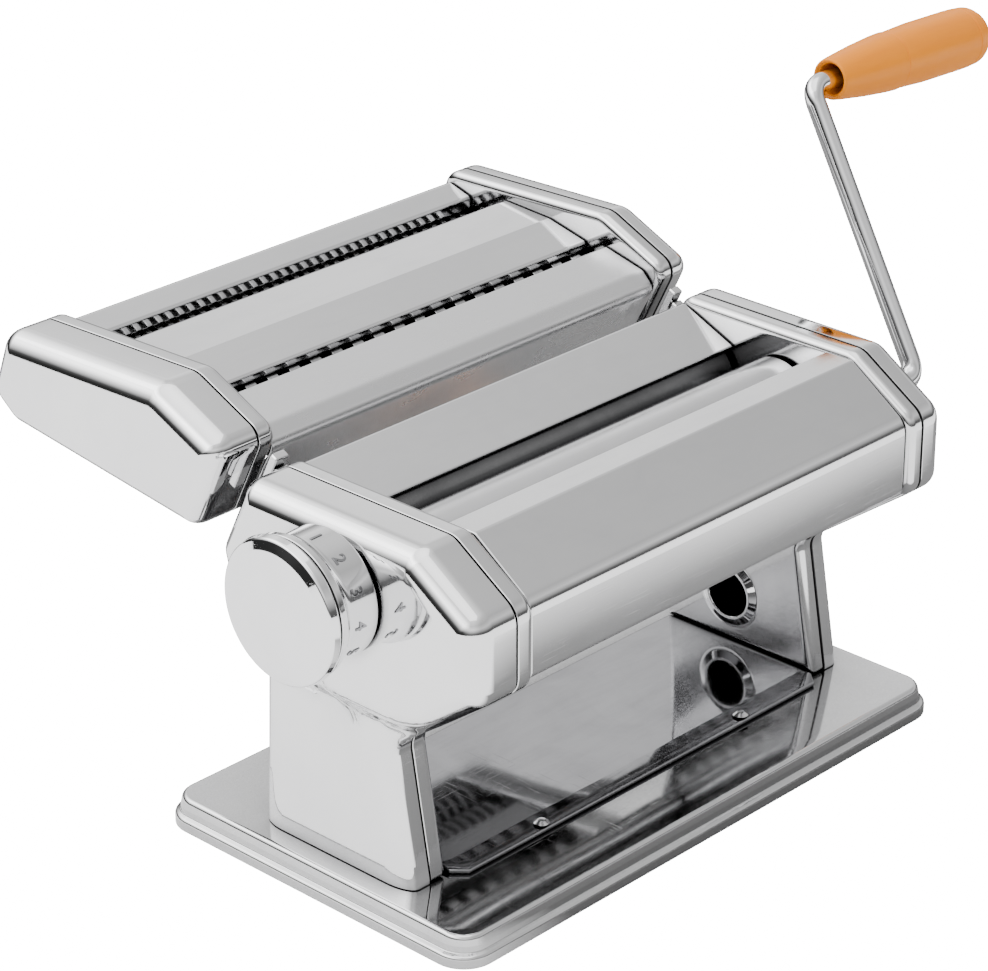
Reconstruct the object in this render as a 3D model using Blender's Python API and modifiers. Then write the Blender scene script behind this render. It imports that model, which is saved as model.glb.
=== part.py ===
"""A hand-cranked pasta roller machine with a clip-on two-width noodle cutter.

Sizes are in millimetres and become metres where a mesh or a place is made.
X runs along the rollers (+X is the crank end), Y runs to the back and Z is up.
The origin is the middle of the base's underside.
"""

import math

import bmesh
import bpy
from mathutils import Vector

MM = 0.001

# Fits and sheet
GAP = 0.3
WALL = 1.2
SHEET = 1.0
ARC_STEPS = 3

# Base
BASE_HALF_X = 97.8
BASE_HALF_Y = 57.5
BASE_HEIGHT = 9.0
BASE_CORNER = 9.5
BASE_STEP = 1.4
LINER_THICKNESS = 1.5
LINER_GAP = 0.6
TIE_THICKNESS = 1.5
TIE_LIP = 5.0
RIVET_X = 41.0
RIVET_RADIUS = 2.2
RIVET_HEIGHT = 0.9

# Working width between the end frames, and the depth of each end
WIDTH = 150.0
LEFT_FRAME_DEPTH = 6.0
RIGHT_FRAME_DEPTH = 5.0
LEFT_COVER_DEPTH = 15.4
RIGHT_COVER_DEPTH = 9.4
CUTTER_LEFT_COVER_DEPTH = 15.8
CUTTER_RIGHT_COVER_DEPTH = 8.0
COVER_SEAM = 0.6
LEG_DEPTH = 7.4
LEG_BLEND_LOW = 56.0
LEG_BLEND_HIGH = 65.0
LEFT_COVER_ROUND = 7.5
RIGHT_COVER_ROUND = 5.0
FRAME_ROUND = 2.5

# Body side outline: height of the top, the front nose and the slanted back edge
BODY_TOP = 112.5
NOSE_Y = -60.0
NOSE_TOP = 98.8
NOSE_BOTTOM = 77.0
TOP_FRONT_Y = -38.5
TOP_REAR_Y = 22.5
BACK_Y = 33.0
BACK_Z = 91.0
LEG_REAR_Y = 24.5
LEG_REAR_Z = 57.0
LEG_FRONT_Y = -22.5
LEG_FRONT_Z = 49.5
LEG_FLARE = 7.0
LEG_REAR_FLARE = 2.0
FOOT_ROUND = 1.2
LEG_HOLE_RADIUS = 7.2
LEG_HOLE_Y = 2.0
LEG_HOLE_Z = 25.5

# Panels between the end frames
PANEL_DROP = 2.0
LIP_REAR_Y = -30.0
HOPPER_EDGE_Y = 3.5
HOPPER_EDGE_Z = 102.5

# Rollers
ROLLER_RADIUS = 13.0
ROLLER_Z = 91.5
FRONT_ROLLER_Y = -14.0
WIDEST_NIP = 2.4
GAP_TRAVEL = 2.2
JOURNAL_RADIUS = 4.0
BUSH_RADIUS = 7.0
ROLLER_END_PLAY = 1.2
ROLLER_TEETH = 12

# Crank drive
CRANK_Y = -5.0
CRANK_Z = 72.0
CRANK_TEETH = 14
DRIVE_TEETH = 13
SOCKET_RADIUS = 5.2
ROD_RADIUS = 3.1
CRANK_X = 150.5
CRANK_ARM = 92.0
CRANK_ARM_TILT = 28.7
CRANK_BEND = 6.0
GRIP_DROOP = 2.0
GRIP_LENGTH = 70.0
PLUG_RADIUS = 4.2
GRIP_SMALL_RADIUS = 6.6
GRIP_LARGE_RADIUS = 9.6

# Gap knob
KNOB_Y = -11.2
KNOB_Z = 94.2
KNOB_RADIUS = 17.5
CAP_RADIUS = 20.0
KNOB_LENGTH = 18.0
CAP_THICKNESS = 5.0
CAM_RADIUS = 8.0
SPRING_RADIUS = 6.6
SPRING_WIRE = 0.5
SHAFT_RADIUS = 4.0

# Cutter attachment: its side outline, its seat and its two pairs of blades
CUTTER_TOP_FRONT_Y = 54.0
CUTTER_TOP_FRONT_Z = 129.0
CUTTER_TOP_REAR_Y = 116.0
CUTTER_TOP_REAR_Z = 127.0
CUTTER_BACK_Y = 123.5
CUTTER_BACK_Z = 107.5
CUTTER_LOW_REAR_Y = 113.5
CUTTER_LOW_REAR_Z = 100.0
CUTTER_LOW_FRONT_Y = 42.5
CUTTER_LOW_FRONT_Z = 91.5
CUTTER_NOSE_Y = 29.5
CUTTER_NOSE_Z = 118.0
SEAT_GAP = 6.0
RAIL_HEIGHT = 2.6
NARROW_NIP_Y = 101.0
WIDE_NIP_Y = 56.0
BLADE_Z = 109.0
BLADE_RADIUS = 8.0
BLADE_CORE = 5.6
BLADE_JOURNAL = 3.5
NARROW_WIDTH = 2.0
WIDE_WIDTH = 4.0
NARROW_SLOT = 5.3
WIDE_SLOT = 3.9
BLADE_SPAN = 144.0
BLADE_TEETH = 10
TIE_ROD_RADIUS = 2.5


def clear_scene():
    for item in list(bpy.data.objects):
        bpy.data.objects.remove(item, do_unlink=True)


def collection(name):
    made = bpy.data.collections.new(name)
    bpy.context.scene.collection.children.link(made)
    return made


def material(name, colour, metallic, roughness):
    made = bpy.data.materials.new(name)
    made.use_nodes = True
    shader = made.node_tree.nodes["Principled BSDF"]
    shader.inputs["Base Color"].default_value = (*colour, 1.0)
    shader.inputs["Metallic"].default_value = metallic
    shader.inputs["Roughness"].default_value = roughness
    made.diffuse_color = (*colour, 1.0)
    return made


clear_scene()
PARTS = collection("pasta_roller_machine")
CUTTERS = collection("cutters")

CHROME = material("polished_steel", (0.82, 0.82, 0.83), 1.0, 0.06)
STEEL = material("ground_steel", (0.62, 0.62, 0.64), 1.0, 0.25)
GEAR_STEEL = material("gear_steel", (0.35, 0.35, 0.36), 1.0, 0.4)
PLASTIC = material("orange_plastic", (0.78, 0.34, 0.05), 0.0, 0.25)
NYLON = material("white_nylon", (0.8, 0.8, 0.77), 0.0, 0.5)
RUBBER = material("black_rubber", (0.03, 0.03, 0.03), 0.0, 0.8)


# ---------------------------------------------------------------- outlines

def ring(corners, inset=0.0, steps=ARC_STEPS):
    """Points of a counter-clockwise outline moved inwards by inset.

    Each corner (u, v, radius) becomes an arc."""
    points = []
    for index, (u, v, radius) in enumerate(corners):
        here = Vector((u, v))
        before = Vector(corners[index - 1][:2])
        after = Vector(corners[(index + 1) % len(corners)][:2])
        go_in = (here - before).normalized()
        go_out = (after - here).normalized()
        turn = math.atan2(go_in.x * go_out.y - go_in.y * go_out.x, go_in.dot(go_out))
        side = 1.0 if turn > 0 else -1.0
        left_in = Vector((-go_in.y, go_in.x))
        left_out = Vector((-go_out.y, go_out.x))
        bisector = (left_in + left_out).normalized()
        corner = here + bisector * (inset / bisector.dot(left_in))
        arc = max(radius - side * inset, 0.4)
        centre = corner + bisector * (side * arc / bisector.dot(left_in))
        start = math.atan2(-side * left_in.y, -side * left_in.x)
        for step in range(steps + 1):
            angle = start + turn * step / steps
            points.append((centre.x + arc * math.cos(angle), centre.y + arc * math.sin(angle)))
    return points


def path_of(corners, steps=ARC_STEPS):
    """Points of an open bent strip: its two ends, and each bend (u, v, radius) between them as an arc."""
    points = [corners[0][:2]]
    for before, here, after in zip(corners, corners[1:], corners[2:]):
        go_in = (Vector(here[:2]) - Vector(before[:2])).normalized()
        go_out = (Vector(after[:2]) - Vector(here[:2])).normalized()
        turn = math.atan2(go_in.x * go_out.y - go_in.y * go_out.x, go_in.dot(go_out))
        reach = here[2] * math.tan(abs(turn) / 2)
        begin = Vector(here[:2]) - go_in * reach
        side = math.copysign(1.0, turn)
        centre = begin + Vector((-go_in.y, go_in.x)) * side * here[2]
        start = math.atan2(begin.y - centre.y, begin.x - centre.x)
        for step in range(steps + 1):
            angle = start + turn * step / steps
            point = centre + Vector((math.cos(angle), math.sin(angle))) * here[2]
            points.append(tuple(point))
    points.append(corners[-1][:2])
    return points


def rounded_rectangle(half_u, half_v, radius):
    return [(half_u, half_v, radius), (-half_u, half_v, radius),
            (-half_u, -half_v, radius), (half_u, -half_v, radius)]


def draw_levels(depth, radius, steps=ARC_STEPS):
    """(inset, height) pairs of a drawn cup's wall, from its open rim to its face, with a rounded edge."""
    levels = [(0.0, 0.0)]
    for step in range(steps + 1):
        angle = math.pi / 2 * step / steps
        levels.append((radius * (1 - math.cos(angle)), depth - radius * (1 - math.sin(angle))))
    return levels


# ---------------------------------------------------------------- makers

def add_object(name, mesh_or_curve, finish, centre=(0.0, 0.0, 0.0), parent=None, group=PARTS):
    item = bpy.data.objects.new(name, mesh_or_curve)
    group.objects.link(item)
    mesh_or_curve.materials.append(finish)
    item.parent = parent
    origin = Vector(centre) * MM
    item.location = origin - parent.location if parent else origin
    return item


def mesh_from(name, work):
    mesh = bpy.data.meshes.new(name)
    bmesh.ops.recalc_face_normals(work, faces=work.faces)
    bmesh.ops.scale(work, vec=(MM, MM, MM), verts=work.verts)
    work.to_mesh(mesh)
    work.free()
    return mesh


def pivot(name, centre, parent=None):
    """An empty on a joint's axis, which carries what turns or slides there."""
    item = bpy.data.objects.new(name, None)
    PARTS.objects.link(item)
    item.empty_display_size = 0.01
    item.location = Vector(centre) * MM
    if parent:
        item.parent = parent
        item.location -= parent.matrix_world.translation
    bpy.context.view_layer.update()
    return item


def add_child(item, parent):
    """Hangs an object on an empty and leaves it where it is."""
    item.parent = parent
    item.matrix_parent_inverse = parent.matrix_world.inverted()
    return item


def loft(rings, close_start=True, close_end=True):
    """A skin through rings of equally many points."""
    work = bmesh.new()
    loops = [[work.verts.new(point) for point in points] for points in rings]
    count = len(loops[0])
    for low, high in zip(loops, loops[1:]):
        for index in range(count):
            following = (index + 1) % count
            work.faces.new((low[index], low[following], high[following], high[index]))
    if close_start:
        work.faces.new(loops[0])
    if close_end:
        work.faces.new(loops[-1])
    return work


def thicken(item, thickness, inwards=True):
    """A wall on the inner side of an open skin."""
    wall = item.modifiers.new("wall", "SOLIDIFY")
    wall.thickness = thickness * MM
    wall.offset = -1.0 if inwards else 1.0
    wall.use_even_offset = True
    return item


def end_shell(name, outline, rim_x, face_x, radius, finish, leg_depth=None):
    """A drawn cup with its face across X. Below the blend its depth drops to leg_depth, for a leg set back."""
    side = math.copysign(1.0, face_x - rim_x)
    depth = abs(face_x - rim_x)
    foot = min(corner[1] for corner in outline)
    outer = draw_levels(depth, radius)
    inner = draw_levels(depth - WALL, max(radius - WALL, 0.6))
    inner = [(inset + WALL, height) for inset, height in inner]
    rings = []
    for inset, height in outer[::-1] + inner:
        points = ring(outline, inset)
        if leg_depth is not None:
            flat = foot if (inset, height) in outer else foot + WALL
            points = [(y, flat if z < foot + inset + FOOT_ROUND else z) for y, z in points]
        rings.append([(rim_x + side * height, y, z) for y, z in points])
    work = loft(rings)
    if leg_depth is not None:
        for level in (LEG_BLEND_LOW, LEG_BLEND_HIGH):
            bmesh.ops.bisect_plane(work, geom=work.verts[:] + work.edges[:] + work.faces[:],
                                   plane_co=(0.0, 0.0, level), plane_no=(0.0, 0.0, 1.0))
        for vertex in work.verts:
            share = (vertex.co.z - LEG_BLEND_LOW) / (LEG_BLEND_HIGH - LEG_BLEND_LOW)
            share = min(max(share, 0.0), 1.0)
            scale = (leg_depth + (depth - leg_depth) * share) / depth
            vertex.co.x = rim_x + (vertex.co.x - rim_x) * scale
    return add_object(name, mesh_from(name, work), finish)


def sheet(name, corners, finish, low_x=-WIDTH / 2 + GAP, high_x=WIDTH / 2 - GAP, thickness=SHEET):
    """A bent strip of sheet: a path in (y, z), drawn out along X, with its thickness on both sides."""
    work = bmesh.new()
    points = path_of(corners)
    low = [work.verts.new((low_x, y, z)) for y, z in points]
    high = [work.verts.new((high_x, y, z)) for y, z in points]
    for index in range(len(points) - 1):
        work.faces.new((low[index], low[index + 1], high[index + 1], high[index]))
    item = add_object(name, mesh_from(name, work), finish)
    wall = item.modifiers.new("wall", "SOLIDIFY")
    wall.thickness = thickness * MM
    wall.offset = 0.0
    wall.use_even_offset = True
    return item


def prism(name, outline, low_x, high_x, finish, centre=(0.0, 0.0)):
    """A flat outline in (y, z) drawn out along X."""
    rings = [[(x, y - centre[0], z - centre[1]) for y, z in outline] for x in (low_x, high_x)]
    return add_object(name, mesh_from(name, loft(rings)), finish, (0.0, *centre))


def turned(name, profile, centre, finish, steps=20):
    """A turned piece on an axis along X: (radius, x) pairs, from its +X end to its -X end."""
    work = bmesh.new()
    verts = [work.verts.new((radius, 0.0, x)) for radius, x in profile]
    closed = profile[0][0] > 0.0
    for first, second in zip(verts, verts[1:]):
        work.edges.new((first, second))
    if closed:
        work.edges.new((verts[-1], verts[0]))
    item = add_object(name, mesh_from(name, work), finish, centre)
    item.rotation_euler = (0.0, math.pi / 2, 0.0)
    screw = item.modifiers.new("turn", "SCREW")
    screw.angle = 2 * math.pi
    screw.screw_offset = 0.0
    screw.steps = steps
    screw.render_steps = steps
    screw.use_merge_vertices = True
    screw.merge_threshold = 0.00005
    return item


def rod(name, radius, low_x, high_x, centre, finish, steps=16):
    """A plain round bar along X."""
    profile = [(0.0, high_x), (radius, high_x), (radius, low_x), (0.0, low_x)]
    return turned(name, profile, centre, finish, steps)


def tube(name, inner, outer, low_x, high_x, centre, finish, steps=16):
    """A plain ring along X."""
    profile = [(outer, high_x), (outer, low_x), (inner, low_x), (inner, high_x)]
    return turned(name, profile, centre, finish, steps)


def cut_round(item, radius, low_x, high_x, y, z, steps=24):
    """Cuts a round hole along X."""
    work = bmesh.new()
    bmesh.ops.create_cone(work, cap_ends=True, segments=steps, radius1=radius, radius2=radius,
                          depth=high_x - low_x)
    name = f"{item.name}_hole_{len(item.modifiers)}"
    mesh = mesh_from(name, work)
    cutter = bpy.data.objects.new(name, mesh)
    CUTTERS.objects.link(cutter)
    cutter.rotation_euler = (0.0, math.pi / 2, 0.0)
    cutter.location = Vector(((low_x + high_x) / 2, y, z)) * MM
    cutter.hide_render = True
    cutter.display_type = "WIRE"
    cut = item.modifiers.new("hole", "BOOLEAN")
    cut.operation = "DIFFERENCE"
    cut.solver = "EXACT"
    cut.object = cutter
    return item


def gear_outline(teeth, root, tip, thickness, phase):
    """Trapezoid teeth: each is thickness wide in angle share at its root and half of that at its tip."""
    pitch = 2 * math.pi / teeth
    points = []
    for tooth in range(teeth):
        middle = phase + tooth * pitch
        for offset, radius in ((-0.5, root), (-0.22, tip), (0.22, tip), (0.5, root)):
            angle = middle + offset * thickness * pitch
            points.append((radius * math.cos(angle), radius * math.sin(angle)))
    return points


def gear(name, teeth, root, tip, bore, low_x, high_x, centre, phase, finish, thickness=0.5):
    """A spur gear along X: phase is the direction of one tooth, measured from +Y towards +Z."""
    outline = [(y + centre[0], z + centre[1]) for y, z in gear_outline(teeth, root, tip, thickness, phase)]
    item = prism(name, outline, low_x, high_x, finish, centre)
    return cut_round(item, bore, low_x - 1.0, high_x + 1.0, *centre)


# ---------------------------------------------------------------- shared outlines and places

def body_outline():
    bottom = BASE_HEIGHT + GAP
    return [
        (LEG_FRONT_Y, LEG_FRONT_Z, 5.0),
        (LEG_FRONT_Y - LEG_FLARE, bottom, FOOT_ROUND),
        (LEG_REAR_Y + LEG_REAR_FLARE, bottom, FOOT_ROUND),
        (LEG_REAR_Y, LEG_REAR_Z, 8.0),
        (BACK_Y, BACK_Z, 6.0),
        (TOP_REAR_Y, BODY_TOP, 5.0),
        (TOP_FRONT_Y, BODY_TOP, 7.0),
        (NOSE_Y, NOSE_TOP, 7.0),
        (NOSE_Y, NOSE_BOTTOM, 6.0),
    ]


def cutter_outline():
    return [
        (CUTTER_LOW_FRONT_Y, CUTTER_LOW_FRONT_Z, 4.0),
        (CUTTER_LOW_REAR_Y, CUTTER_LOW_REAR_Z, 8.0),
        (CUTTER_BACK_Y, CUTTER_BACK_Z, 7.0),
        (CUTTER_TOP_REAR_Y, CUTTER_TOP_REAR_Z, 6.0),
        (CUTTER_TOP_FRONT_Y, CUTTER_TOP_FRONT_Z, 9.0),
        (CUTTER_NOSE_Y, CUTTER_NOSE_Z, 5.0),
    ]


HALF = WIDTH / 2
LEFT_RIM = -HALF - LEFT_FRAME_DEPTH
RIGHT_RIM = HALF + RIGHT_FRAME_DEPTH
LEFT_FACE = LEFT_RIM - COVER_SEAM - LEFT_COVER_DEPTH
RIGHT_FACE = RIGHT_RIM + COVER_SEAM + RIGHT_COVER_DEPTH
REAR_ROLLER_Y = FRONT_ROLLER_Y + 2 * ROLLER_RADIUS + WIDEST_NIP
SLANT = Vector((TOP_REAR_Y - BACK_Y, BODY_TOP - BACK_Z)).normalized()
ROLLER_HALF = HALF - ROLLER_END_PLAY
BUSH_OUT = HALF + WALL + 2.3
INNER_GEAR = (BUSH_OUT + 0.4, BUSH_OUT + 3.9)
OUTER_GEAR = (INNER_GEAR[1] + 0.6, INNER_GEAR[1] + 4.2)
SOCKET_START = INNER_GEAR[1] + 0.3
BLADE_OFFSET = (BLADE_RADIUS + BLADE_CORE + GAP) / 2


# ---------------------------------------------------------------- base

def make_base():
    levels = ((0.0, GAP), (0.0, 3.0), (BASE_STEP, 4.2), (BASE_STEP, 6.2),
              (2 * BASE_STEP - 0.4, BASE_HEIGHT - 0.7), (2 * BASE_STEP + 0.4, BASE_HEIGHT))
    outline = rounded_rectangle(BASE_HALF_X, BASE_HALF_Y, BASE_CORNER)
    rings = [[(x, y, height) for x, y in ring(outline, inset, 4)] for inset, height in levels]
    work = loft(rings, close_start=False)
    bmesh.ops.recalc_face_normals(work, faces=work.faces)
    top = max(work.faces, key=lambda face: face.calc_center_median().z)
    upright = top.normal.z > 0
    tray = add_object("base_plate", mesh_from("base_plate", work), CHROME)
    thicken(tray, WALL, inwards=upright)

    outline = ring(outline, WALL + LINER_GAP, 4)
    rings = [[(x, y, height) for x, y in outline] for height in (0.0, LINER_THICKNESS)]
    add_object("base_liner", mesh_from("base_liner", loft(rings)), RUBBER)

    low = BASE_HEIGHT + GAP
    high = low + TIE_THICKNESS
    front = LEG_FRONT_Y - LEG_FLARE
    lip = front - TIE_LIP + 1.0
    strip = [(LEG_REAR_Y, low), (LEG_REAR_Y, high), (front + 1.0, high), (lip, low + 0.6), (lip, low)]
    prism("tie_plate", strip, -HALF + GAP, HALF - GAP, CHROME)
    for side, name in ((-1, "tie_rivet_left"), (1, "tie_rivet_right")):
        work = bmesh.new()
        bmesh.ops.create_cone(work, cap_ends=True, segments=12, radius1=RIVET_RADIUS,
                              radius2=RIVET_RADIUS * 0.5, depth=RIVET_HEIGHT)
        place = (side * RIVET_X, front - 1.5, high + GAP + RIVET_HEIGHT / 2)
        add_object(name, mesh_from(name, work), STEEL, place)


# ---------------------------------------------------------------- body

def make_ends():
    outline = body_outline()
    left = end_shell("left_frame", outline, LEFT_RIM, -HALF, FRAME_ROUND, CHROME)
    right = end_shell("right_frame", outline, RIGHT_RIM, HALF, FRAME_ROUND, CHROME)
    for frame, side in ((left, -1), (right, 1)):
        low, high = sorted((side * (HALF - 2.0), side * (HALF + WALL + 2.0)))
        cut_round(frame, BUSH_RADIUS + GAP, low, high, REAR_ROLLER_Y, ROLLER_Z)
        cut_round(frame, BUSH_RADIUS + GAP + GAP_TRAVEL / 2, low, high,
                  FRONT_ROLLER_Y + GAP_TRAVEL / 2, ROLLER_Z)
        cut_round(frame, LEG_HOLE_RADIUS, low, high, LEG_HOLE_Y, LEG_HOLE_Z)
    left_cover = end_shell("left_cover", outline, LEFT_RIM - COVER_SEAM, LEFT_FACE,
                           LEFT_COVER_ROUND, CHROME, LEG_DEPTH)
    right_cover = end_shell("right_cover", outline, RIGHT_RIM + COVER_SEAM, RIGHT_FACE,
                            RIGHT_COVER_ROUND, CHROME, LEG_DEPTH)
    cut_round(left_cover, SHAFT_RADIUS + 1.0, LEFT_FACE - 2.0, LEFT_FACE + 4.0, KNOB_Y, KNOB_Z)
    cut_round(right_cover, SOCKET_RADIUS + 1.0, RIGHT_FACE - 4.0, RIGHT_FACE + 2.0, CRANK_Y, CRANK_Z)


def make_panels():
    top = BODY_TOP - PANEL_DROP
    nose = NOSE_Y + PANEL_DROP
    sheet("front_panel", [(LIP_REAR_Y, top), (TOP_FRONT_Y - 0.6, top, 1.5), (nose, NOSE_TOP - 1.3, 2.5),
                          (nose, NOSE_BOTTOM + 1.0, 1.0), (nose + 3.5, NOSE_BOTTOM - 1.6)], CHROME)
    sheet("hopper_plate", [(HOPPER_EDGE_Y, HOPPER_EDGE_Z), (TOP_REAR_Y - 0.5, top, 1.0),
                           (TOP_REAR_Y + 2.0, top - 4.5)], CHROME)
    sheet("rear_panel", [(TOP_REAR_Y + 2.4, top - 5.6), (BACK_Y - PANEL_DROP * SLANT.y, BACK_Z, 3.0),
                         (LEG_REAR_Y + 2.0, LEG_REAR_Z + 14.0)], CHROME)
    for name, side, y in (("front_scraper", -1, FRONT_ROLLER_Y), ("rear_scraper", 1, REAR_ROLLER_Y)):
        reach = ROLLER_RADIUS + 1.2
        edge = (y + side * 0.25 * reach, ROLLER_Z - 0.968 * reach)
        sheet(name, [edge, (edge[0] + side * 7.0, edge[1] - 4.5)], STEEL, thickness=0.8)


def make_tie_rods():
    places = {"front_tie_rod": (-47.0, 86.0), "rear_tie_rod": (20.0, 70.0), "lower_tie_rod": (-40.0, 76.0)}
    for name, (y, z) in places.items():
        rod(name, TIE_ROD_RADIUS, -HALF + GAP, HALF - GAP, (0.0, y, z), STEEL, 12)


# ---------------------------------------------------------------- rollers and drive

def make_roller(name, y, right_end, parent):
    profile = [(0.0, right_end), (JOURNAL_RADIUS, right_end), (JOURNAL_RADIUS, ROLLER_HALF),
               (ROLLER_RADIUS, ROLLER_HALF), (ROLLER_RADIUS, -ROLLER_HALF), (JOURNAL_RADIUS, -ROLLER_HALF),
               (JOURNAL_RADIUS, -BUSH_OUT - 1.0), (0.0, -BUSH_OUT - 1.0)]
    roller = turned(name, profile, (0.0, y, ROLLER_Z), STEEL, 28)
    add_child(roller, parent)


def make_bushes(name, y, parent):
    for side, word in ((-1, "left"), (1, "right")):
        low, high = sorted((side * (HALF - 0.6), side * BUSH_OUT))
        bush = tube(f"{name}_bush_{word}", JOURNAL_RADIUS + GAP, BUSH_RADIUS, low, high,
                    (0.0, y, ROLLER_Z), NYLON)
        if parent:
            add_child(bush, parent)


def make_roller_drive():
    rear_axis = pivot("rear_roller_axis", (0.0, REAR_ROLLER_Y, ROLLER_Z))
    carriage = pivot("front_carriage", (0.0, FRONT_ROLLER_Y, ROLLER_Z))
    front_axis = pivot("front_roller_axis", (0.0, FRONT_ROLLER_Y, ROLLER_Z), carriage)
    crank_axis = pivot("crank_axis", (0.0, CRANK_Y, CRANK_Z))
    make_roller("rear_roller", REAR_ROLLER_Y, OUTER_GEAR[1] + 0.4, rear_axis)
    make_roller("front_roller", FRONT_ROLLER_Y, INNER_GEAR[1] + 0.4, front_axis)
    make_bushes("rear", REAR_ROLLER_Y, None)
    make_bushes("front", FRONT_ROLLER_Y, carriage)

    closest = REAR_ROLLER_Y - FRONT_ROLLER_Y - GAP_TRAVEL
    tip = closest / 2 + 2.0
    root = closest - tip - 0.5
    bore = JOURNAL_RADIUS + GAP
    tooth = math.pi / ROLLER_TEETH
    add_child(gear("rear_roller_gear", ROLLER_TEETH, root, tip, bore, *INNER_GEAR, (REAR_ROLLER_Y, ROLLER_Z),
                   math.pi, GEAR_STEEL, 0.42), rear_axis)
    add_child(gear("front_roller_gear", ROLLER_TEETH, root, tip, bore, *INNER_GEAR, (FRONT_ROLLER_Y, ROLLER_Z),
                   tooth, GEAR_STEEL, 0.42), front_axis)

    reach = Vector((REAR_ROLLER_Y - CRANK_Y, ROLLER_Z - CRANK_Z))
    module = reach.length / ((CRANK_TEETH + DRIVE_TEETH) / 2)
    towards = math.atan2(reach.y, reach.x)
    drive = module * DRIVE_TEETH / 2
    crank = module * CRANK_TEETH / 2
    up = 0.55 * module
    down = 0.9 * module
    add_child(gear("rear_drive_gear", DRIVE_TEETH, drive - down, drive + up, bore, *OUTER_GEAR,
                   (REAR_ROLLER_Y, ROLLER_Z), towards + math.pi, GEAR_STEEL, 0.44), rear_axis)
    add_child(gear("crank_gear", CRANK_TEETH, crank - down, crank + up, SOCKET_RADIUS + GAP, *OUTER_GEAR,
                   (CRANK_Y, CRANK_Z), towards + math.pi / CRANK_TEETH, GEAR_STEEL, 0.44), crank_axis)
    add_child(tube("crank_socket", ROD_RADIUS + GAP, SOCKET_RADIUS, SOCKET_START, RIGHT_FACE + 1.6,
                   (0.0, CRANK_Y, CRANK_Z), STEEL), crank_axis)
    return crank_axis


# ---------------------------------------------------------------- crank

def make_crank(crank_axis):
    tilt = math.radians(CRANK_ARM_TILT)
    droop = math.radians(GRIP_DROOP)
    arm = Vector((0.0, math.sin(tilt), math.cos(tilt)))
    inward = Vector((1.0, 0.0, 0.0))
    outward = Vector((math.cos(droop), 0.0, -math.sin(droop)))
    low = Vector((CRANK_X, CRANK_Y, CRANK_Z))
    high = low + arm * CRANK_ARM
    start = Vector((SOCKET_START + 0.5, CRANK_Y, CRANK_Z))
    near = CRANK_BEND + 3.0
    finish = high + outward * (near + 20.0)
    points = [start]
    for corner, go_in, go_out in ((low, inward, arm), (high, arm, outward)):
        begin = corner - go_in * CRANK_BEND
        end = corner + go_out * CRANK_BEND
        for step in range(7):
            share = step / 6
            points.append(begin.lerp(corner, share).lerp(corner.lerp(end, share), share))
    points.append(finish)
    pull = pivot("crank_slide", low, crank_axis)
    grip_axis = pivot("grip_axis", high, pull)

    curve = bpy.data.curves.new("crank_rod", "CURVE")
    curve.dimensions = "3D"
    curve.bevel_depth = ROD_RADIUS * MM
    curve.bevel_resolution = 2
    curve.use_fill_caps = True
    spline = curve.splines.new("POLY")
    spline.points.add(len(points) - 1)
    for slot, point in zip(spline.points, points):
        slot.co = (*((point - start) * MM), 1.0)
    add_child(add_object("crank_rod", curve, CHROME, start), pull)

    far = near + GRIP_LENGTH
    bore = ROD_RADIUS + GAP
    wide = GRIP_LARGE_RADIUS
    slim = GRIP_SMALL_RADIUS
    swell = wide - slim
    profile = [(PLUG_RADIUS + GAP, far), (wide - 1.9, far), (wide - 0.5, far - 2.0), (wide - 0.2, far - 8.0),
               (wide, near + 42.0), (slim + 0.82 * swell, near + 25.0), (slim + 0.5 * swell, near + 14.0),
               (slim, near + 1.6), (slim - 1.2, near), (bore, near), (bore, near + 21.0),
               (PLUG_RADIUS + GAP, near + 21.0)]
    grip = turned("crank_grip", profile, high, PLASTIC, 20)
    plug = [(0.0, far + 0.8), (PLUG_RADIUS - 1.0, far + 0.6), (PLUG_RADIUS, far - 0.2),
            (PLUG_RADIUS, far - 4.0), (0.0, far - 4.0)]
    end = turned("grip_plug", plug, high, PLASTIC, 16)
    for piece in (grip, end):
        piece.rotation_euler = (0.0, math.pi / 2 + droop, 0.0)
        add_child(piece, grip_axis)


# ---------------------------------------------------------------- gap knob

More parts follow.
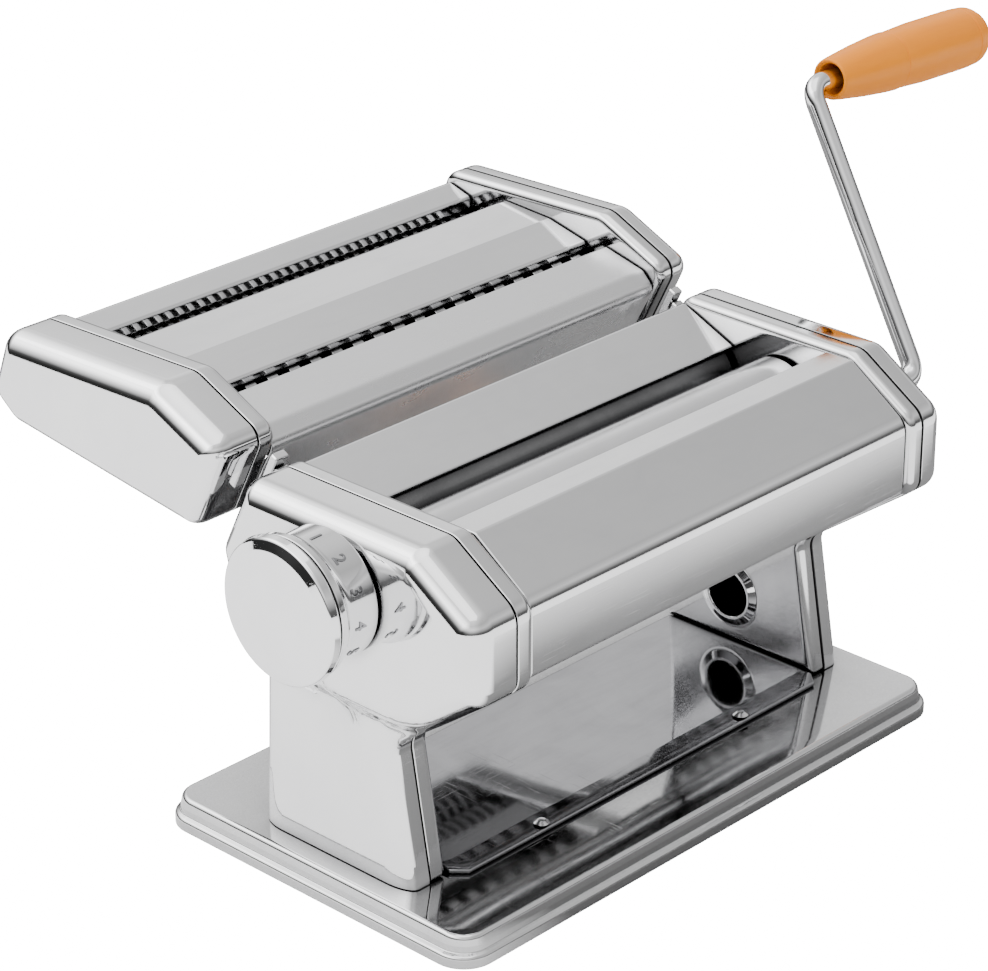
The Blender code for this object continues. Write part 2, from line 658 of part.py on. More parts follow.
def make_knob():
    cam_axis = pivot("knob_axis", (LEFT_FACE, KNOB_Y, KNOB_Z))
    slide = pivot("knob_slide", (LEFT_FACE, KNOB_Y, KNOB_Z), cam_axis)
    centre = (0.0, KNOB_Y, KNOB_Z)
    cam = LEFT_FACE + 10.5
    shaft_end = LEFT_FACE - KNOB_LENGTH + 5.5
    shaft = [(0.0, cam + 2.5), (CAM_RADIUS, cam + 2.5), (CAM_RADIUS, cam), (SHAFT_RADIUS, cam),
             (SHAFT_RADIUS, shaft_end), (0.0, shaft_end)]
    add_child(turned("cam_shaft", shaft, centre, STEEL, 20), cam_axis)

    skirt = LEFT_FACE - 0.6
    rim = LEFT_FACE - KNOB_LENGTH + 3.0
    bore = SHAFT_RADIUS + GAP
    dial = [(KNOB_RADIUS - 0.8, skirt), (KNOB_RADIUS, skirt - 1.0), (KNOB_RADIUS - 0.5, rim + 3.2),
            (KNOB_RADIUS + 1.6, rim + 2.4), (KNOB_RADIUS + 1.8, rim), (bore + 4.0, rim),
            (bore + 4.0, rim + 1.5), (bore, rim + 1.5), (bore, skirt - 3.0), (bore + 3.0, skirt)]
    add_child(turned("knob_dial", dial, centre, CHROME, 32), slide)
    near = rim - 0.5
    cap = [(0.0, near), (CAP_RADIUS - 0.8, near), (CAP_RADIUS, near - 0.9), (CAP_RADIUS - 0.5, near - 2.6),
           (CAP_RADIUS - 2.6, near - 3.8), (CAP_RADIUS * 0.55, near - CAP_THICKNESS + 0.3),
           (0.0, near - CAP_THICKNESS)]
    add_child(turned("knob_cap", cap, centre, CHROME, 32), slide)

    turns = 4.5
    per_turn = 10
    count = int(turns * per_turn)
    low = LEFT_FACE + WALL + 1.2
    high = cam - 1.2
    curve = bpy.data.curves.new("knob_spring", "CURVE")
    curve.dimensions = "3D"
    curve.bevel_depth = SPRING_WIRE * MM
    curve.bevel_resolution = 0
    curve.use_fill_caps = True
    spline = curve.splines.new("POLY")
    spline.points.add(count)
    for index, slot in enumerate(spline.points):
        angle = 2 * math.pi * index / per_turn
        x = low + (high - low) * index / count
        slot.co = (x * MM, SPRING_RADIUS * math.cos(angle) * MM, SPRING_RADIUS * math.sin(angle) * MM, 1.0)
    add_child(add_object("knob_spring", curve, STEEL, centre), cam_axis)


# ---------------------------------------------------------------- cutter attachment

def make_seat(cutter):
    """The guide rails on the body's slanted back edge, and the hooks of the cutter that slide on them."""
    foot = Vector((BACK_Y, BACK_Z))
    across = Vector((SLANT.y, -SLANT.x))
    rail = (4.5, 19.0, GAP, RAIL_HEIGHT)
    hook = (2.5, 22.0, RAIL_HEIGHT + GAP, SEAT_GAP - 2 * GAP)
    for word, low_x, high_x in (("left", LEFT_RIM + 0.8, -HALF - 0.6), ("right", HALF + 0.6, RIGHT_RIM - 0.8)):
        for kind, (start, end, near, far) in (("guide_rail", rail), ("cutter_hook", hook)):
            places = ((start, near), (end, near), (end, far), (start, far))
            corners = [tuple(foot + SLANT * s + across * t) for s, t in places]
            piece = prism(f"{kind}_{word}", corners, low_x, high_x, CHROME)
            if kind == "cutter_hook":
                add_child(piece, cutter)


def blade_profile(width, right_end, first):
    """Discs of one cutting width, a gap apart: first is 0 for a disc at the left end and 1 for a groove."""
    pitch = 2 * width
    count = int(BLADE_SPAN / pitch)
    start = -BLADE_SPAN / 2 + first * width
    shaft_end = -HALF - WALL - 2.0
    profile = [(0.0, shaft_end), (BLADE_JOURNAL, shaft_end), (BLADE_JOURNAL, -HALF + 0.8)]
    profile.append((BLADE_CORE, -HALF + 0.8))
    for disc in range(count):
        low = start + disc * pitch + GAP / 2
        high = low + width - GAP
        profile += [(BLADE_CORE, low), (BLADE_RADIUS, low), (BLADE_RADIUS, high), (BLADE_CORE, high)]
    profile += [(BLADE_CORE, HALF - 0.8), (BLADE_JOURNAL, HALF - 0.8)]
    profile += [(BLADE_JOURNAL, right_end), (0.0, right_end)]
    return profile[::-1]


def make_blades(cutter):
    plane = (HALF + WALL + 1.0, HALF + WALL + 5.0)
    tip = BLADE_OFFSET + 0.8
    root = 2 * BLADE_OFFSET - tip - 0.4
    pairs = (("narrow", NARROW_NIP_Y, NARROW_WIDTH, 8), ("wide", WIDE_NIP_Y, WIDE_WIDTH, 10))
    for word, nip, width, steps in pairs:
        for index, (place, side) in enumerate((("front", -1), ("rear", 1))):
            y = nip + side * BLADE_OFFSET
            axis = pivot(f"{word}_{place}_axis", (0.0, y, BLADE_Z), cutter)
            profile = blade_profile(width, plane[1] + 0.4, index)
            add_child(turned(f"{word}_{place}_blades", profile, (0.0, y, BLADE_Z), STEEL, steps), axis)
            phase = 0.0 if side < 0 else math.pi / BLADE_TEETH + math.pi
            add_child(gear(f"{word}_{place}_gear", BLADE_TEETH, root, tip, BLADE_JOURNAL + GAP, *plane,
                           (y, BLADE_Z), phase, GEAR_STEEL, 0.44), axis)


def make_cutter():
    cutter = pivot("cutter_slide", (0.0, BACK_Y, BACK_Z))
    outline = cutter_outline()
    left = end_shell("cutter_left_frame", outline, LEFT_RIM, -HALF, FRAME_ROUND, CHROME)
    right = end_shell("cutter_right_frame", outline, RIGHT_RIM, HALF, FRAME_ROUND, CHROME)
    for frame, side in ((left, -1), (right, 1)):
        low, high = sorted((side * (HALF - 2.0), side * (HALF + WALL + 2.0)))
        for nip in (NARROW_NIP_Y, WIDE_NIP_Y):
            for y in (nip - BLADE_OFFSET, nip + BLADE_OFFSET):
                cut_round(frame, BLADE_JOURNAL + GAP, low, high, y, BLADE_Z, 16)
        add_child(frame, cutter)
    left_x = LEFT_RIM - COVER_SEAM
    right_x = RIGHT_RIM + COVER_SEAM
    face_x = left_x - CUTTER_LEFT_COVER_DEPTH
    add_child(end_shell("cutter_left_cover", outline, left_x, face_x, LEFT_COVER_ROUND, CHROME), cutter)
    face_x = right_x + CUTTER_RIGHT_COVER_DEPTH
    cover = end_shell("cutter_right_cover", outline, right_x, face_x, RIGHT_COVER_ROUND, CHROME)
    for nip in (NARROW_NIP_Y, WIDE_NIP_Y):
        cut_round(cover, SOCKET_RADIUS, face_x - 4.0, face_x + 2.0, nip + BLADE_OFFSET, BLADE_Z)
    add_child(cover, cutter)

    deck = CUTTER_TOP_REAR_Z - 6.0
    lip = BLADE_Z + BLADE_RADIUS + 0.6
    behind = NARROW_NIP_Y + NARROW_SLOT
    before = NARROW_NIP_Y - NARROW_SLOT
    rear = WIDE_NIP_Y + WIDE_SLOT
    front = WIDE_NIP_Y - WIDE_SLOT
    panels = {
        "cutter_rear_panel": [(behind, lip), (behind, deck, 0.8), (CUTTER_TOP_REAR_Y - 0.8, deck + 2.6, 2.0),
                              (CUTTER_BACK_Y - 3.0, CUTTER_BACK_Z + 1.6, 2.0),
                              (CUTTER_BACK_Y - 4.6, CUTTER_BACK_Z - 2.6)],
        "cutter_centre_panel": [(before, lip), (before, deck + 0.2, 0.8), (before - 4.5, deck + 2.4, 1.5),
                                (74.0, deck + 1.4, 1.5), (rear, deck - 1.9, 0.7), (rear, lip - 0.6)],
        "cutter_front_panel": [(front, lip - 0.4), (front, deck - 1.4, 0.7),
                               (CUTTER_NOSE_Y + 8.0, CUTTER_NOSE_Z - 1.9, 3.0),
                               (CUTTER_NOSE_Y + 3.9, CUTTER_NOSE_Z - 6.0, 3.0),
                               (CUTTER_LOW_FRONT_Y - 1.4, CUTTER_LOW_FRONT_Z + 6.4)],
        "cutter_brace": [(70.0, 98.5), (87.0, 100.0)],
    }
    for name, corners in panels.items():
        add_child(sheet(name, corners, CHROME), cutter)
    middle = (NARROW_NIP_Y + WIDE_NIP_Y) / 2
    add_child(rod("cutter_tie_rod", TIE_ROD_RADIUS, -HALF + GAP, HALF - GAP, (0.0, middle, BLADE_Z), STEEL, 12),
              cutter)
    make_blades(cutter)
    make_seat(cutter)


make_base()
make_ends()
make_panels()
make_tie_rods()
make_crank(make_roller_drive())
make_knob()
make_cutter()
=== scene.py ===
"""Looks of the pasta roller machine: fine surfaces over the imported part, a plain studio and a camera.

Sizes are in millimetres in the part's own frame, and become metres where a mesh is made.
X runs along the rollers (+X is the crank end), Y runs to the back and Z is up.
"""

import math

import bpy
import numpy as np
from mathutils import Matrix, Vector


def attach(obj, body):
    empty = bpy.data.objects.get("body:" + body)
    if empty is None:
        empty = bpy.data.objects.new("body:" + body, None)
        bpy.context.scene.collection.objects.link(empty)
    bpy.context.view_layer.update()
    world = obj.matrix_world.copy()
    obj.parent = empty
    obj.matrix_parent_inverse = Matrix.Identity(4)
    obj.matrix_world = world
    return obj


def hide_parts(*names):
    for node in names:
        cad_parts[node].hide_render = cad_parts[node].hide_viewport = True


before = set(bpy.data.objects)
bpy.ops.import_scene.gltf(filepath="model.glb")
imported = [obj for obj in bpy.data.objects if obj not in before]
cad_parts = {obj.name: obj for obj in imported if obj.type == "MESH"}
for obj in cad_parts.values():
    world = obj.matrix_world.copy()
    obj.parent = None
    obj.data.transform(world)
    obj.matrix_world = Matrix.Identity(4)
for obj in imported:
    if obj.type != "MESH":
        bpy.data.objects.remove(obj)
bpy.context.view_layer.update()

MM = 0.001

# Ends of the body and of the cutter, along X
HALF = 75.0
WALL = 1.2
LEFT_RIM = -81.0
LEFT_COVER_RIM = -81.6
LEFT_FACE = -97.0
RIGHT_RIM = 80.0
RIGHT_COVER_RIM = 80.6
RIGHT_FACE = 90.0
CUTTER_LEFT_FACE = -97.4
CUTTER_RIGHT_FACE = 88.6
LEG_DEPTH = 7.4
LEG_BLEND = (55.0, 66.0)
FOOT_Z = 9.3
FOOT_ROUND = 1.2
# Faces beyond this X, in metres, that look back into a hollow end get painted shade: a near-black material.
HOLLOW_SHADE_FROM = 0.079  # metres

# Side outlines as (y, z, corner radius), anticlockwise
BODY_OUTLINE = [(-22.5, 49.5, 5.0), (-29.5, FOOT_Z, FOOT_ROUND), (26.5, FOOT_Z, FOOT_ROUND),
                (24.5, 57.0, 8.0), (33.0, 91.0, 6.0),
                (22.5, 112.5, 5.0), (-38.5, 112.5, 7.0), (-60.0, 98.8, 7.0), (-60.0, 77.0, 6.0)]
BODY_CENTRE = (-5.0, 70.0)
CUTTER_OUTLINE = [(42.5, 91.5, 4.0), (113.5, 100.0, 8.0), (123.48, 107.5, 7.0), (116.0, 127.0, 6.0),
                  (54.0, 129.0, 9.0), (29.5, 118.0, 5.0)]
CUTTER_CENTRE = (78.0, 111.0)

# Rollers, blades and drive
ROLLER_RADIUS = 13.0
ROLLER_Z = 91.5
ROLLER_ROWS = (("front_roller", -14.0, 82.8), ("rear_roller", 14.4, 87.0))
BLADE_Z = 109.0
BLADE_RADIUS = 8.0
BLADE_CORE = 5.6
BLADE_OFFSET = 6.95

# Crank and knob
CRANK_LOW = np.array((150.5, -5.0, 72.0))
CRANK_ARM = 92.0
CRANK_TILT = 28.7
ROD_RADIUS = 3.1
GRIP_DROOP = 2.0
KNOB_Y = -11.2
KNOB_Z = 94.2


# ---------------------------------------------------------------- shader nodes

def add(tree, kind, inputs=None, **settings):
    """Adds a node, sets its properties, and fills or links its inputs."""
    made = tree.nodes.new(kind)
    for key, value in settings.items():
        setattr(made, key, value)
    for key, value in (inputs or {}).items():
        if isinstance(value, bpy.types.NodeSocket):
            tree.links.new(value, made.inputs[key])
        else:
            made.inputs[key].default_value = value
    return made


def new_group(name, inputs, outputs):
    """An empty node group with its sockets: each input is (name, kind, value)."""
    tree = bpy.data.node_groups.new(name, "ShaderNodeTree")
    for label, kind, value in inputs:
        socket = tree.interface.new_socket(label, in_out="INPUT", socket_type=kind)
        socket.default_value = value
    for label, kind in outputs:
        tree.interface.new_socket(label, in_out="OUTPUT", socket_type=kind)
    return tree, tree.nodes.new("NodeGroupInput"), tree.nodes.new("NodeGroupOutput")


def ramp(tree, value, stops):
    """A colour ramp with grey stops (position, level)."""
    made = add(tree, "ShaderNodeValToRGB", {"Fac": value})
    bar = made.color_ramp
    bar.elements[0].position, bar.elements[1].position = stops[0][0], stops[-1][0]
    for place, _ in stops[1:-1]:
        bar.elements.new(place)
    for element, (_, level) in zip(bar.elements, stops):
        element.color = (level, level, level, 1.0)
    return made.outputs["Color"]


def maths(tree, operation, first, second=0.0, clamp=False):
    made = add(tree, "ShaderNodeMath", operation=operation, use_clamp=clamp)
    for slot, value in zip(made.inputs, (first, second)):
        if isinstance(value, bpy.types.NodeSocket):
            tree.links.new(value, slot)
        else:
            slot.default_value = value
    return made.outputs[0]


def smudge_group():
    """Soft blots and wiped streaks, as a mask from 0 to 1."""
    tree, inside, outside = new_group(
        "smudges", [("Scale", "NodeSocketFloat", 30.0), ("Amount", "NodeSocketFloat", 1.0)],
        [("Mask", "NodeSocketFloat")])
    place = add(tree, "ShaderNodeTexCoord").outputs["Object"]
    blots = add(tree, "ShaderNodeTexNoise", {"Vector": place, "Scale": inside.outputs["Scale"], "Detail": 4.0,
                                             "Roughness": 0.6, "Distortion": 0.8})
    turned = add(tree, "ShaderNodeMapping", {"Vector": place, "Rotation": (0.5, 0.3, 0.7),
                                             "Scale": (1.0, 6.0, 2.0)})
    wipes = add(tree, "ShaderNodeTexNoise", {"Vector": turned.outputs[0], "Scale": inside.outputs["Scale"],
                                             "Detail": 6.0, "Roughness": 0.65})
    soft = ramp(tree, blots.outputs["Fac"], ((0.42, 0.0), (0.66, 1.0)))
    streaks = ramp(tree, wipes.outputs["Fac"], ((0.45, 0.0), (0.75, 1.0)))
    both = maths(tree, "ADD", maths(tree, "MULTIPLY", soft, 0.6), maths(tree, "MULTIPLY", streaks, 0.5))
    tree.links.new(maths(tree, "MULTIPLY", both, inside.outputs["Amount"], True), outside.inputs["Mask"])
    return tree


def scratch_group():
    """Hairline marks that run two ways, as a mask from 0 to 1."""
    tree, inside, outside = new_group(
        "hairlines", [("Scale", "NodeSocketFloat", 60.0), ("Amount", "NodeSocketFloat", 1.0)],
        [("Mask", "NodeSocketFloat")])
    place = add(tree, "ShaderNodeTexCoord").outputs["Object"]
    found = []
    for turn, stretch in (((0.2, 0.5, 0.9), (1.0, 40.0, 40.0)), ((1.1, 0.2, 0.4), (40.0, 1.0, 40.0))):
        moved = add(tree, "ShaderNodeMapping", {"Vector": place, "Rotation": turn, "Scale": stretch})
        lines = add(tree, "ShaderNodeTexNoise", {"Vector": moved.outputs[0], "Scale": inside.outputs["Scale"],
                                                 "Detail": 2.0, "Roughness": 0.5})
        found.append(ramp(tree, lines.outputs["Fac"], ((0.66, 0.0), (0.74, 1.0))))
    both = maths(tree, "MAXIMUM", found[0], found[1])
    tree.links.new(maths(tree, "MULTIPLY", both, inside.outputs["Amount"], True), outside.inputs["Mask"])
    return tree


def wave_group():
    """The slow hills of pressed sheet, as a height from 0 to 1."""
    tree, inside, outside = new_group(
        "sheet_waves", [("Scale", "NodeSocketFloat", 18.0), ("Stretch", "NodeSocketVector", (1.0, 1.0, 1.0))],
        [("Height", "NodeSocketFloat")])
    place = add(tree, "ShaderNodeTexCoord").outputs["Object"]
    pulled = add(tree, "ShaderNodeVectorMath", {0: place, 1: inside.outputs["Stretch"]}, operation="MULTIPLY")
    hills = add(tree, "ShaderNodeTexNoise", {"Vector": pulled.outputs[0], "Scale": inside.outputs["Scale"],
                                             "Detail": 1.0, "Roughness": 0.4})
    tree.links.new(hills.outputs["Fac"], outside.inputs["Height"])
    return tree


def grain_group():
    """Fine lines left by a wheel or a lathe, stretched along one direction, from 0 to 1."""
    tree, inside, outside = new_group(
        "grain", [("Scale", "NodeSocketFloat", 400.0), ("Stretch", "NodeSocketVector", (0.02, 1.0, 1.0))],
        [("Value", "NodeSocketFloat")])
    place = add(tree, "ShaderNodeTexCoord").outputs["Object"]
    pulled = add(tree, "ShaderNodeVectorMath", {0: place, 1: inside.outputs["Stretch"]}, operation="MULTIPLY")
    fine = add(tree, "ShaderNodeTexNoise", {"Vector": pulled.outputs[0], "Scale": inside.outputs["Scale"],
                                            "Detail": 5.0, "Roughness": 0.7})
    tree.links.new(fine.outputs["Fac"], outside.inputs["Value"])
    return tree


def painted_crevice_shade_group():
    """Painted shade: ambient occlusion makes the colour dark in narrow gaps and corners, light on open faces.
    """
    tree, inside, outside = new_group(
        "painted_crevice_shade", [("Reach", "NodeSocketFloat", 0.006), ("Darkest", "NodeSocketFloat", 0.3)],
        [("Light", "NodeSocketFloat")])
    open_share = add(tree, "ShaderNodeAmbientOcclusion", {"Distance": inside.outputs["Reach"]},
                     samples=6).outputs["AO"]
    curve = add(tree, "ShaderNodeMapRange", {"Value": open_share, "From Min": 0.15, "From Max": 0.85,
                                             "To Min": inside.outputs["Darkest"], "To Max": 1.0})
    tree.links.new(curve.outputs["Result"], outside.inputs["Light"])
    return tree


SMUDGES = smudge_group()
HAIRLINES = scratch_group()
WAVES = wave_group()
GRAIN = grain_group()
PAINTED_CREVICE_SHADE = painted_crevice_shade_group()


def use(tree, shared, **values):
    made = add(tree, "ShaderNodeGroup", node_tree=shared)
    for key, value in values.items():
        made.inputs[key].default_value = value
    return made.outputs[0]


def mixed(tree, mask, low, high):
    """A colour between two, by a mask."""
    made = add(tree, "ShaderNodeMix", {"Factor": mask}, data_type="RGBA")
    made.inputs[6].default_value = (*low, 1.0)
    made.inputs[7].default_value = (*high, 1.0)
    return made.outputs[2]


def ranged(tree, mask, low, high):
    """A number between two, by a mask."""
    made = add(tree, "ShaderNodeMapRange", {"Value": mask, "To Min": low, "To Max": high})
    return made.outputs["Result"]


def new_material(name):
    made = bpy.data.materials.new(name)
    made.use_nodes = True
    return made, made.node_tree, made.node_tree.nodes["Principled BSDF"]


def metal(name, clean, dull, smooth, rough, waves=(18.0, (1.0, 1.0, 1.0), 0.1), grain=None, smudge=30.0,
          scratch=0.5, gap_shade=(0.005, 0.35)):
    """A bare metal: smudges dull it, hairlines roughen it, waves bend its reflections, and grain lines it.

    Gap shade is (reach, darkest), a painted shade: how far away a neighbour still darkens the colour, and how
    dark it gets."""
    made, tree, shader = new_material(name)
    marks = use(tree, SMUDGES, Scale=smudge)
    lines = use(tree, HAIRLINES, Amount=scratch)
    # Painted shade: the colour is multiplied by the crevice shade, so it darkens near other surfaces.
    dim = add(tree, "ShaderNodeMix", {"Factor": 1.0}, data_type="RGBA", blend_type="MULTIPLY")
    tree.links.new(mixed(tree, marks, clean, dull), dim.inputs[6])
    tree.links.new(use(tree, PAINTED_CREVICE_SHADE, Reach=gap_shade[0], Darkest=gap_shade[1]), dim.inputs[7])
    tree.links.new(dim.outputs[2], shader.inputs["Base Color"])
    shader.inputs["Metallic"].default_value = 1.0
    level = maths(tree, "ADD", ranged(tree, marks, smooth, rough), maths(tree, "MULTIPLY", lines, 0.08))
    hills = use(tree, WAVES, Scale=waves[0], Stretch=waves[1])
    normal = add(tree, "ShaderNodeBump", {"Height": hills, "Strength": waves[2],
                                          "Distance": 0.001}).outputs[0]
    normal = add(tree, "ShaderNodeBump", {"Height": lines, "Strength": 0.03, "Distance": 0.0002,
                                          "Normal": normal}).outputs[0]
    if grain:
        fine = use(tree, GRAIN, Scale=grain[0], Stretch=grain[1])
        level = maths(tree, "ADD", level, maths(tree, "MULTIPLY", fine, grain[2]))
        normal = add(tree, "ShaderNodeBump", {"Height": fine, "Strength": grain[3], "Distance": 0.0001,
                                              "Normal": normal}).outputs[0]
    tree.links.new(level, shader.inputs["Roughness"])
    tree.links.new(normal, shader.inputs["Normal"])
    return made


def plastic(name, light, dark, smooth, rough, coat, streak, bumps):
    """A moulded plastic with faint flow streaks and a skin of tiny dimples."""
    made, tree, shader = new_material(name)
    flow = use(tree, GRAIN, Scale=streak[0], Stretch=streak[1])
    marks = use(tree, SMUDGES, Scale=60.0)
    tree.links.new(mixed(tree, ramp(tree, flow, ((0.3, 0.0), (0.7, 1.0))), light, dark),
                   shader.inputs["Base Color"])
    tree.links.new(ranged(tree, marks, smooth, rough), shader.inputs["Roughness"])
    shader.inputs["Coat Weight"].default_value = coat
    shader.inputs["Coat Roughness"].default_value = 0.12
    place = add(tree, "ShaderNodeTexCoord").outputs["Object"]
    skin = add(tree, "ShaderNodeTexNoise", {"Vector": place, "Scale": bumps[0], "Detail": 3.0})
    normal = add(tree, "ShaderNodeBump", {"Height": skin.outputs["Fac"], "Strength": bumps[1],
                                          "Distance": 0.0002})
    tree.links.new(normal.outputs[0], shader.inputs["Normal"])
    return made


# Painted shade: every metal darkens its colour near other surfaces, by its gap shade (reach in metres, darkest
# level).
POLISHED = metal("polished_steel", (0.80, 0.80, 0.805), (0.75, 0.75, 0.76), 0.04, 0.09)
# Painted shade: the base plate darkens towards anything within 0.11 m, down to 0.03 of its colour, as the
# shade under the machine.
BASE = metal("base_steel", (0.80, 0.80, 0.805), (0.75, 0.75, 0.76), 0.04, 0.09,
             waves=(26.0, (0.4, 1.0, 1.0), 0.3), gap_shade=(0.11, 0.03))
FRAME = metal("frame_steel", (0.76, 0.76, 0.765), (0.68, 0.68, 0.69), 0.07, 0.13,
              waves=(26.0, (1.0, 1.0, 1.0), 0.35), gap_shade=(0.022, 0.12))
PANEL = metal("panel_steel", (0.78, 0.78, 0.785), (0.73, 0.73, 0.74), 0.07, 0.13,
              waves=(14.0, (0.35, 1.0, 1.0), 0.25), gap_shade=(0.004, 0.1))
# Painted shade: the tie plate steel is a darker copy of the polished steel, standing in for the shade and dark
# reflections under the machine; the dial digits use it too.
TIE = metal("tie_plate_steel", (0.34, 0.34, 0.35), (0.27, 0.27, 0.28), 0.04, 0.09,
            waves=(22.0, (0.6, 1.0, 1.0), 0.35), gap_shade=(0.008, 0.2))
CHROME = metal("chrome_plate", (0.84, 0.84, 0.85), (0.78, 0.78, 0.79), 0.03, 0.07,
               waves=(45.0, (1.0, 1.0, 1.0), 0.3), gap_shade=(0.003, 0.3))
ROLLER = metal("ground_steel", (0.76, 0.76, 0.77), (0.68, 0.68, 0.69), 0.12, 0.2,
               waves=(30.0, (0.1, 1.0, 1.0), 0.05),
               grain=(900.0, (0.02, 1.0, 1.0), 0.08, 0.15), gap_shade=(0.02, 0.02))
BLADE = metal("blade_steel", (0.62, 0.62, 0.63), (0.45, 0.45, 0.46), 0.18, 0.32,
              grain=(700.0, (1.0, 0.05, 0.05), 0.1, 0.2), gap_shade=(0.008, 0.02))
GEAR = metal("gear_steel", (0.36, 0.36, 0.37), (0.2, 0.19, 0.17), 0.3, 0.5,
             grain=(600.0, (1.0, 1.0, 0.05), 0.1, 0.3))
SATIN = metal("satin_steel", (0.8, 0.8, 0.805), (0.74, 0.74, 0.75), 0.26, 0.36,
              waves=(14.0, (0.35, 1.0, 1.0), 0.15), gap_shade=(0.004, 0.1))
# Painted shade: a darker copy of the ground roller steel, for the rear roller that sits in the machine's
# shade.
SHADED_ROLLER = metal("ground_steel_painted_shade", (0.3, 0.3, 0.305), (0.2, 0.2, 0.205), 0.1, 0.2,
                    waves=(30.0, (0.1, 1.0, 1.0), 0.1), grain=(900.0, (0.02, 1.0, 1.0), 0.08, 0.15),
                    gap_shade=(0.02, 0.02))
ORANGE = plastic("orange_plastic", (1.0, 0.31, 0.0), (0.9, 0.25, 0.0), 0.34, 0.46, 0.04,
                 (90.0, (0.12, 1.0, 1.0)), (500.0, 0.05))
ORANGE.node_tree.nodes["Principled BSDF"].inputs["Specular IOR Level"].default_value = 0.25
# Painted shade: a near-black material for the faces that look back into the hollow ends, which lie in shade.
HOLLOW_SHADE = metal("hollow_painted_shade", (0.06, 0.06, 0.062), (0.035, 0.035, 0.036), 0.25, 0.45, gap_shade=(0.01, 0.3))
NYLON = plastic("white_nylon", (0.78, 0.77, 0.73), (0.7, 0.69, 0.65), 0.45, 0.6, 0.0,
                (80.0, (1.0, 1.0, 1.0)), (900.0, 0.1))
RUBBER = plastic("black_rubber", (0.012, 0.012, 0.012), (0.02, 0.02, 0.02), 0.6, 0.8, 0.0,
                 (120.0, (1.0, 1.0, 1.0)), (1500.0, 0.3))


# ---------------------------------------------------------------- outlines

def corner_arc(before, here, after, radius, steps):
    """Points on the arc of that radius that rounds the corner between two straight runs."""
    before, here, after = (np.array(point[:2], float) for point in (before, here, after))
    go_in = (here - before) / np.linalg.norm(here - before)
    go_out = (after - here) / np.linalg.norm(after - here)
    turn = math.atan2(go_in[0] * go_out[1] - go_in[1] * go_out[0], float(go_in @ go_out))
    side = math.copysign(1.0, turn)
    begin = here - go_in * radius * math.tan(abs(turn) / 2)
    centre = begin + np.array((-go_in[1], go_in[0])) * side * radius
    angle = math.atan2(*(begin - centre)[::-1]) + turn * np.linspace(0.0, 1.0, steps + 1)
    return centre + radius * np.stack([np.cos(angle), np.sin(angle)], axis=1)


def bent_path(corners, steps=8):
    """An open path through corners (u, v, radius). Its two ends, and a corner with no radius, stay sharp."""
    runs = [np.array([corners[0][:2]], float)]
    for before, here, after in zip(corners, corners[1:], corners[2:]):
        rounded = len(here) == 3 and here[2] > 0.0
        runs.append(corner_arc(before, here, after, here[2], steps) if rounded else np.array([here[:2]],
                                                                                             float))
    runs.append(np.array([corners[-1][:2]], float))
    return np.concatenate(runs)


def closed_ring(corners, inset=0.0, steps=10, spacing=3.5):
    """A closed outline moved inwards by inset. Every inset of one outline has the same number of points.

    Each corner is an arc of its radius less the inset, and each straight run is split evenly."""
    flat = np.array([corner[:2] for corner in corners], float)
    go = np.roll(flat, -1, axis=0) - flat
    lengths = np.linalg.norm(go, axis=1)
    go /= lengths[:, None]
    left = np.stack([-go[:, 1], go[:, 0]], axis=1)
    left_in = np.roll(left, 1, axis=0)
    bisector = left_in + left
    bisector /= np.linalg.norm(bisector, axis=1)[:, None]
    reach = (bisector * left_in).sum(axis=1)
    moved = flat + bisector * (inset / reach)[:, None]
    turn = np.cross(np.roll(go, 1, axis=0), go)
    arcs = []
    for index, corner in enumerate(corners):
        side = 1.0 if turn[index] > 0 else -1.0
        radius = max(corner[2] - side * inset, 0.4)
        arcs.append(corner_arc(moved[index - 1], moved[index], moved[(index + 1) % len(corners)], radius,
                               steps))
    runs = []
    for index, arc in enumerate(arcs):
        following = arcs[(index + 1) % len(arcs)]
        pieces = max(int(lengths[index] / spacing), 1)
        share = np.linspace(0.0, 1.0, pieces + 1)[1:-1, None]
        runs += [arc, arc[-1] * (1 - share) + following[0] * share]
    ring = np.concatenate(runs)
    return np.concatenate([ring, ring[:1]])


# ---------------------------------------------------------------- meshes

def grid_faces(rows, columns):
    index = np.arange(rows * columns).reshape(rows, columns)
    return np.stack([index[:-1, :-1], index[:-1, 1:], index[1:, 1:], index[1:, :-1]], axis=-1).reshape(-1, 4)


def welded(points, faces):
    """Joins points that meet, so that seams and poles close. Squares that lost a corner become triangles."""
    _, first, index = np.unique(np.round(points, 4), axis=0, return_index=True, return_inverse=True)
    faces = index.reshape(-1)[faces]
    kept = faces[(faces[:, 0] != faces[:, 2]) & (faces[:, 1] != faces[:, 3])]
    same = kept == np.roll(kept, -1, axis=1)
    lost = same.sum(axis=1)
    four = kept[lost == 0]
    three = kept[lost == 1][~same[lost == 1]].reshape(-1, 3)
    return points[first], four, three


def outward(points, four, three):
    """Turns every face round if the surface is inside out."""
    corners = np.concatenate([four[:, [0, 1, 2]], four[:, [0, 2, 3]], three])
    volume = np.linalg.det(points[corners] - points.mean(axis=0)).sum()
    return (four, three) if volume > 0 else (four[:, ::-1], three[:, ::-1])


def mesh_of(name, grids):
    """One mesh from closed grids of points (rows, columns, 3), in millimetres."""
    vertices, quads, triangles, start = [], [], [], 0
    for grid in grids:
        points, four, three = welded(grid.reshape(-1, 3), grid_faces(*grid.shape[:2]))
        four, three = outward(points, four, three)
        vertices.append(points * MM)
        quads += (four + start).tolist()
        triangles += (three + start).tolist()
        start += len(points)
    mesh = bpy.data.meshes.new(name)
    mesh.from_pydata(np.concatenate(vertices), [], quads + triangles)
    mesh.update()
    return mesh


